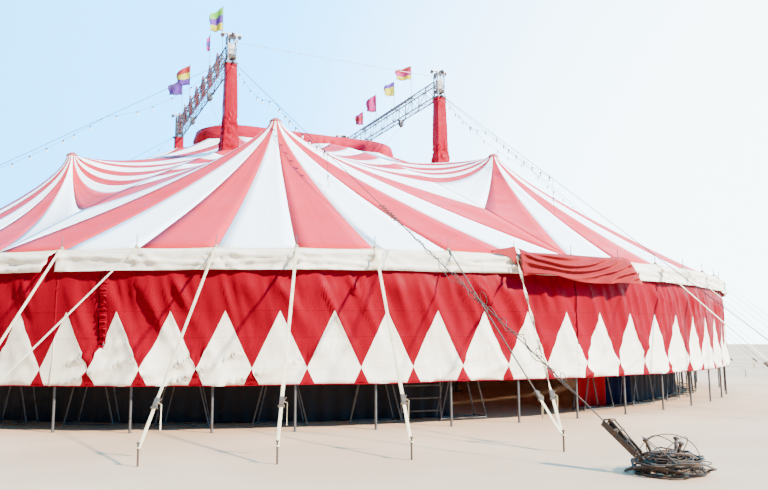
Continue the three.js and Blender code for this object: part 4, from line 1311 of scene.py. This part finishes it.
def stays(name, sx, sy):
    """The two stays of a mast, from the collar on its head to their anchors."""
    made = Solids()
    centre = mast_place(sx, sy, SLEEVE_TOP + 0.0234)
    for sign in (-1, 1):
        made.box(centre + Vector((0.165 * sign, 0, 0)), (0.028, 0.36, 0.046), 3)
        made.box(centre + Vector((0, 0.165 * sign, 0)), (0.36, 0.028, 0.046), 3)
    for angle in ANCHOR_ANGLES:
        place = polar(ANCHOR_RADIUS, angle)
        foot = Vector((sx * place.x, sy * place.y, 0))
        out = (foot - centre) * Vector((1, 1, 0))
        out.normalize()
        start, end = centre + out * (MAST_WIDTH / 2 + 0.075), foot + lift(0.12)
        made.box(start - out * 0.02, (0.04, 0.08, 0.08), 3, facing((0, 0, 1), out))
        made.ring(start, 0.035, 0.008, 0, facing(out.cross(lift(1))), 14)
        length = (end - start).length
        high, low = (start.lerp(end, 1 - back / length) for back in (TENSIONER_TOP, TENSIONER_FOOT))
        made.tube([start, high], 0.008)
        made.tube([low, end], 0.016)
        tensioner(made, high, low)
        light_string(made, start, end)
        if name == "front_left" and angle > 45:
            tangle(made, start, end)
        anchor(made, foot + lift(1).cross(out) * sx * sy * 0.33)
    looks = ["rust", "lamp_socket", "lamp_glass", "grey_paint"]
    made.piece(f"stays_{name}", looks, "wire", f"mast_stays_{name}")


for name, (sx, sy) in CORNERS.items():
    stays(name, sx, sy)


# Seating under the wall

TRESTLE_TURN = 7.5
TRESTLE_COUNT = 47
TRESTLE_ANGLES = [242.55 + TRESTLE_TURN * (number + 5) for number in range(TRESTLE_COUNT)]
BACK_RADIUS = TRESTLE_RADIUS - 0.36
RAIL_HEIGHT = TRESTLE_TOP - 0.03
# Where the pair of curtains at the way in ends, and where its red one meets the blue one
CURTAIN_END = 289.55
CURTAIN_MEET = 284.7


def trestle(made, angle):
    """Two frames of slanted legs, one behind the other, and the bars between their feet."""
    out, side = polar(1, angle), polar(1, angle + 90)
    for radius, half, drop in ((TRESTLE_RADIUS, 0.5, 0.04), (BACK_RADIUS, 0.43, 0.12)):
        foot = out * radius
        top = foot + lift(TRESTLE_TOP - drop)
        for sign in (-1, 1):
            made.tube([foot + side * half * sign + lift(0.0225), top + side * 0.03 * sign], 0.013)
        made.tube([foot - side * half + lift(0.045), foot + side * half + lift(0.045)], 0.012)
    for sign in (-1, 1):
        low = out * TRESTLE_RADIUS + side * 0.47 * sign + lift(0.06)
        made.tube([low, out * BACK_RADIUS + side * 0.4 * sign + lift(0.06)], 0.012, 6)


def crossbar(made, angle):
    foot, side = polar(TRESTLE_RADIUS, angle, 0.045), polar(1, angle + 90)
    top = polar(TRESTLE_RADIUS, angle, TRESTLE_TOP - 0.04)
    made.tube([(foot - side * 0.5).lerp(top, 0.42), (foot + side * 0.5).lerp(top, 0.42)], 0.01)


def ladder(made, angle):
    start, end = polar(TRESTLE_RADIUS - 0.1, angle + 2.2), polar(TRESTLE_RADIUS - 0.1, angle + 5.6)
    for rung in range(6):
        level = lift(0.2 + 0.24 * rung)
        made.tube([start + level, end + level], 0.014, 6)
    for post in (start, end):
        made.tube([post + lift(0.02), post + lift(TRESTLE_TOP - 0.06)], 0.017)


def trestles():
    made = Solids()
    for number, angle in enumerate(TRESTLE_ANGLES):
        trestle(made, angle)
        if number % 3 == 2:
            crossbar(made, angle)
        if number % 6 == 3:
            ladder(made, angle)
    made.tube([polar(TRESTLE_RADIUS, angle, RAIL_HEIGHT) for angle in TRESTLE_ANGLES], 0.022)
    for angle in TRESTLE_ANGLES[::4]:
        arm = polar(DRAPE_RADIUS + 0.01, angle, RAIL_HEIGHT), polar(TRESTLE_RADIUS, angle, RAIL_HEIGHT)
        made.tube(arm, 0.018)
    made.piece("trestle_frames", ["seat_steel"], "steel", "seat_trestles")


def drape(name, start, end, entrance):
    """A length of pleated drape. At the way in it is a red curtain and a blue one; elsewhere it is near-black
    cloth, painted shade for the dark inside of the tent.
    """
    columns, rows = round((end - start) * 5), 6

    def place(u, v):
        angle = start + (end - start) * u
        z = 0.012 + (TRESTLE_TOP - 0.012) * v
        pleat = sin(radians(angle) * 260 + 1.5 * rough(0.8 * angle, 0.4 * z, 1))
        return polar(DRAPE_RADIUS - 0.03 + 0.028 * pleat * (1 - 0.5 * z / TRESTLE_TOP), angle, z)

    points, faces = grid(columns, rows, place)
    # Away from the way in, every face takes the near-black drape of painted shade
    marks = [2] * len(faces)
    if entrance:
        angles = [start + (end - start) * (face[0] // (rows + 1)) / columns for face in faces]
        marks = [int(angle >= CURTAIN_MEET) for angle in angles]
    looks = ["curtain_red", "curtain_blue", "dark_drape"]
    made = add_piece(name, points, faces, looks, ["seat_drape"], marks, None, 0.003)


trestles()
drape("drape_entrance", TRESTLE_ANGLES[0], CURTAIN_END, True)
third = (TRESTLE_ANGLES[-1] - CURTAIN_END) / 3
for number, name in enumerate(("right", "back", "left")):
    drape(f"drape_{name}", CURTAIN_END + third * number, CURTAIN_END + third * (number + 1), False)


# Plain nodes that keep their shape

NODE_LOOKS = {f"queen_pole_{number}": "galvanised" for number in range(1, 9)}
NODE_LOOKS["sign_row"] = "sign_paint"
NODE_LOOKS["lantern_frame"] = "galvanised"
NODE_LOOKS["head_tie_front"] = "wire"
NODE_LOOKS["head_tie_back"] = "wire"
for node, look in NODE_LOOKS.items():
    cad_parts[node].data.materials.clear()
    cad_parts[node].data.materials.append(LOOKS[look])


# Floor and light

FLOOR_REACH = 150
SUN_AZIMUTH = 304
SUN_HEIGHT = radians(34)
SKY_AZIMUTH = 20
# How far toward the sky's bright side each colour lies, from 0 to 1
SKY_STOPS = ((0.15, (0.02, 0.024, 0.03)), (0.98, (0.75, 0.95, 1.0)), (0.76, (0.03, 0.44, 0.98)))


def stage_floor():
    mesh = bpy.data.meshes.new("floor")
    corners = [(FLOOR_REACH * x, FLOOR_REACH * y, 0) for x, y in CORNERS.values()]
    mesh.from_pydata(corners, [], [(0, 1, 2, 3)])
    ground = Shade("floor", 0.9)
    blotch = ground.patch(0.25, 4, 0.35, 0.7)
    mesh.materials.append(ground.finish(ground.mix(blotch, (0.48, 0.27, 0.14), (0.57, 0.35, 0.2))))
    made = bpy.data.objects.new("floor", mesh)
    bpy.context.collection.objects.link(made)


def sky():
    """A soft studio sky, dim behind the viewer's left and bright behind the tent's right."""
    world = bpy.data.worlds.new("sky")
    bpy.context.scene.world = world
    world.use_nodes = True
    tree = world.node_tree
    nodes = Nodes(tree)
    place = nodes.node("TexCoord", "Generated", {})
    toward = nodes.node("VectorMath", "Value", {0: place, 1: polar(1, SKY_AZIMUTH)}, operation="DOT_PRODUCT")
    ramp = tree.nodes.new("ShaderNodeValToRGB")
    ramp.color_ramp.interpolation = "EASE"
    stops = ramp.color_ramp.elements
    for number, (position, color) in enumerate(SKY_STOPS):
        stop = stops[number] if number < 2 else stops.new(position)
        stop.position = position
        stop.color = (*color, 1)
    half = nodes.node("Math", 0, {0: toward, 1: 0.5, 2: 0.5}, operation="MULTIPLY_ADD")
    nodes.put(ramp.inputs["Fac"], half)
    background = tree.nodes["Background"]
    nodes.put(background.inputs["Color"], ramp.outputs["Color"])
    nodes.put(background.inputs["Strength"], 9.8)


def sun():
    data = bpy.data.lights.new("key", "SUN")
    data.energy = 20.0
    data.angle = radians(3)
    data.color = (1.0, 0.92, 0.78)
    key = bpy.data.objects.new("key", data)
    toward = polar(cos(SUN_HEIGHT), SUN_AZIMUTH, sin(SUN_HEIGHT))
    key.rotation_mode = "QUATERNION"
    key.rotation_quaternion = toward.to_track_quat("Z", "Y")
    bpy.context.collection.objects.link(key)


stage_floor()
sky()
sun()
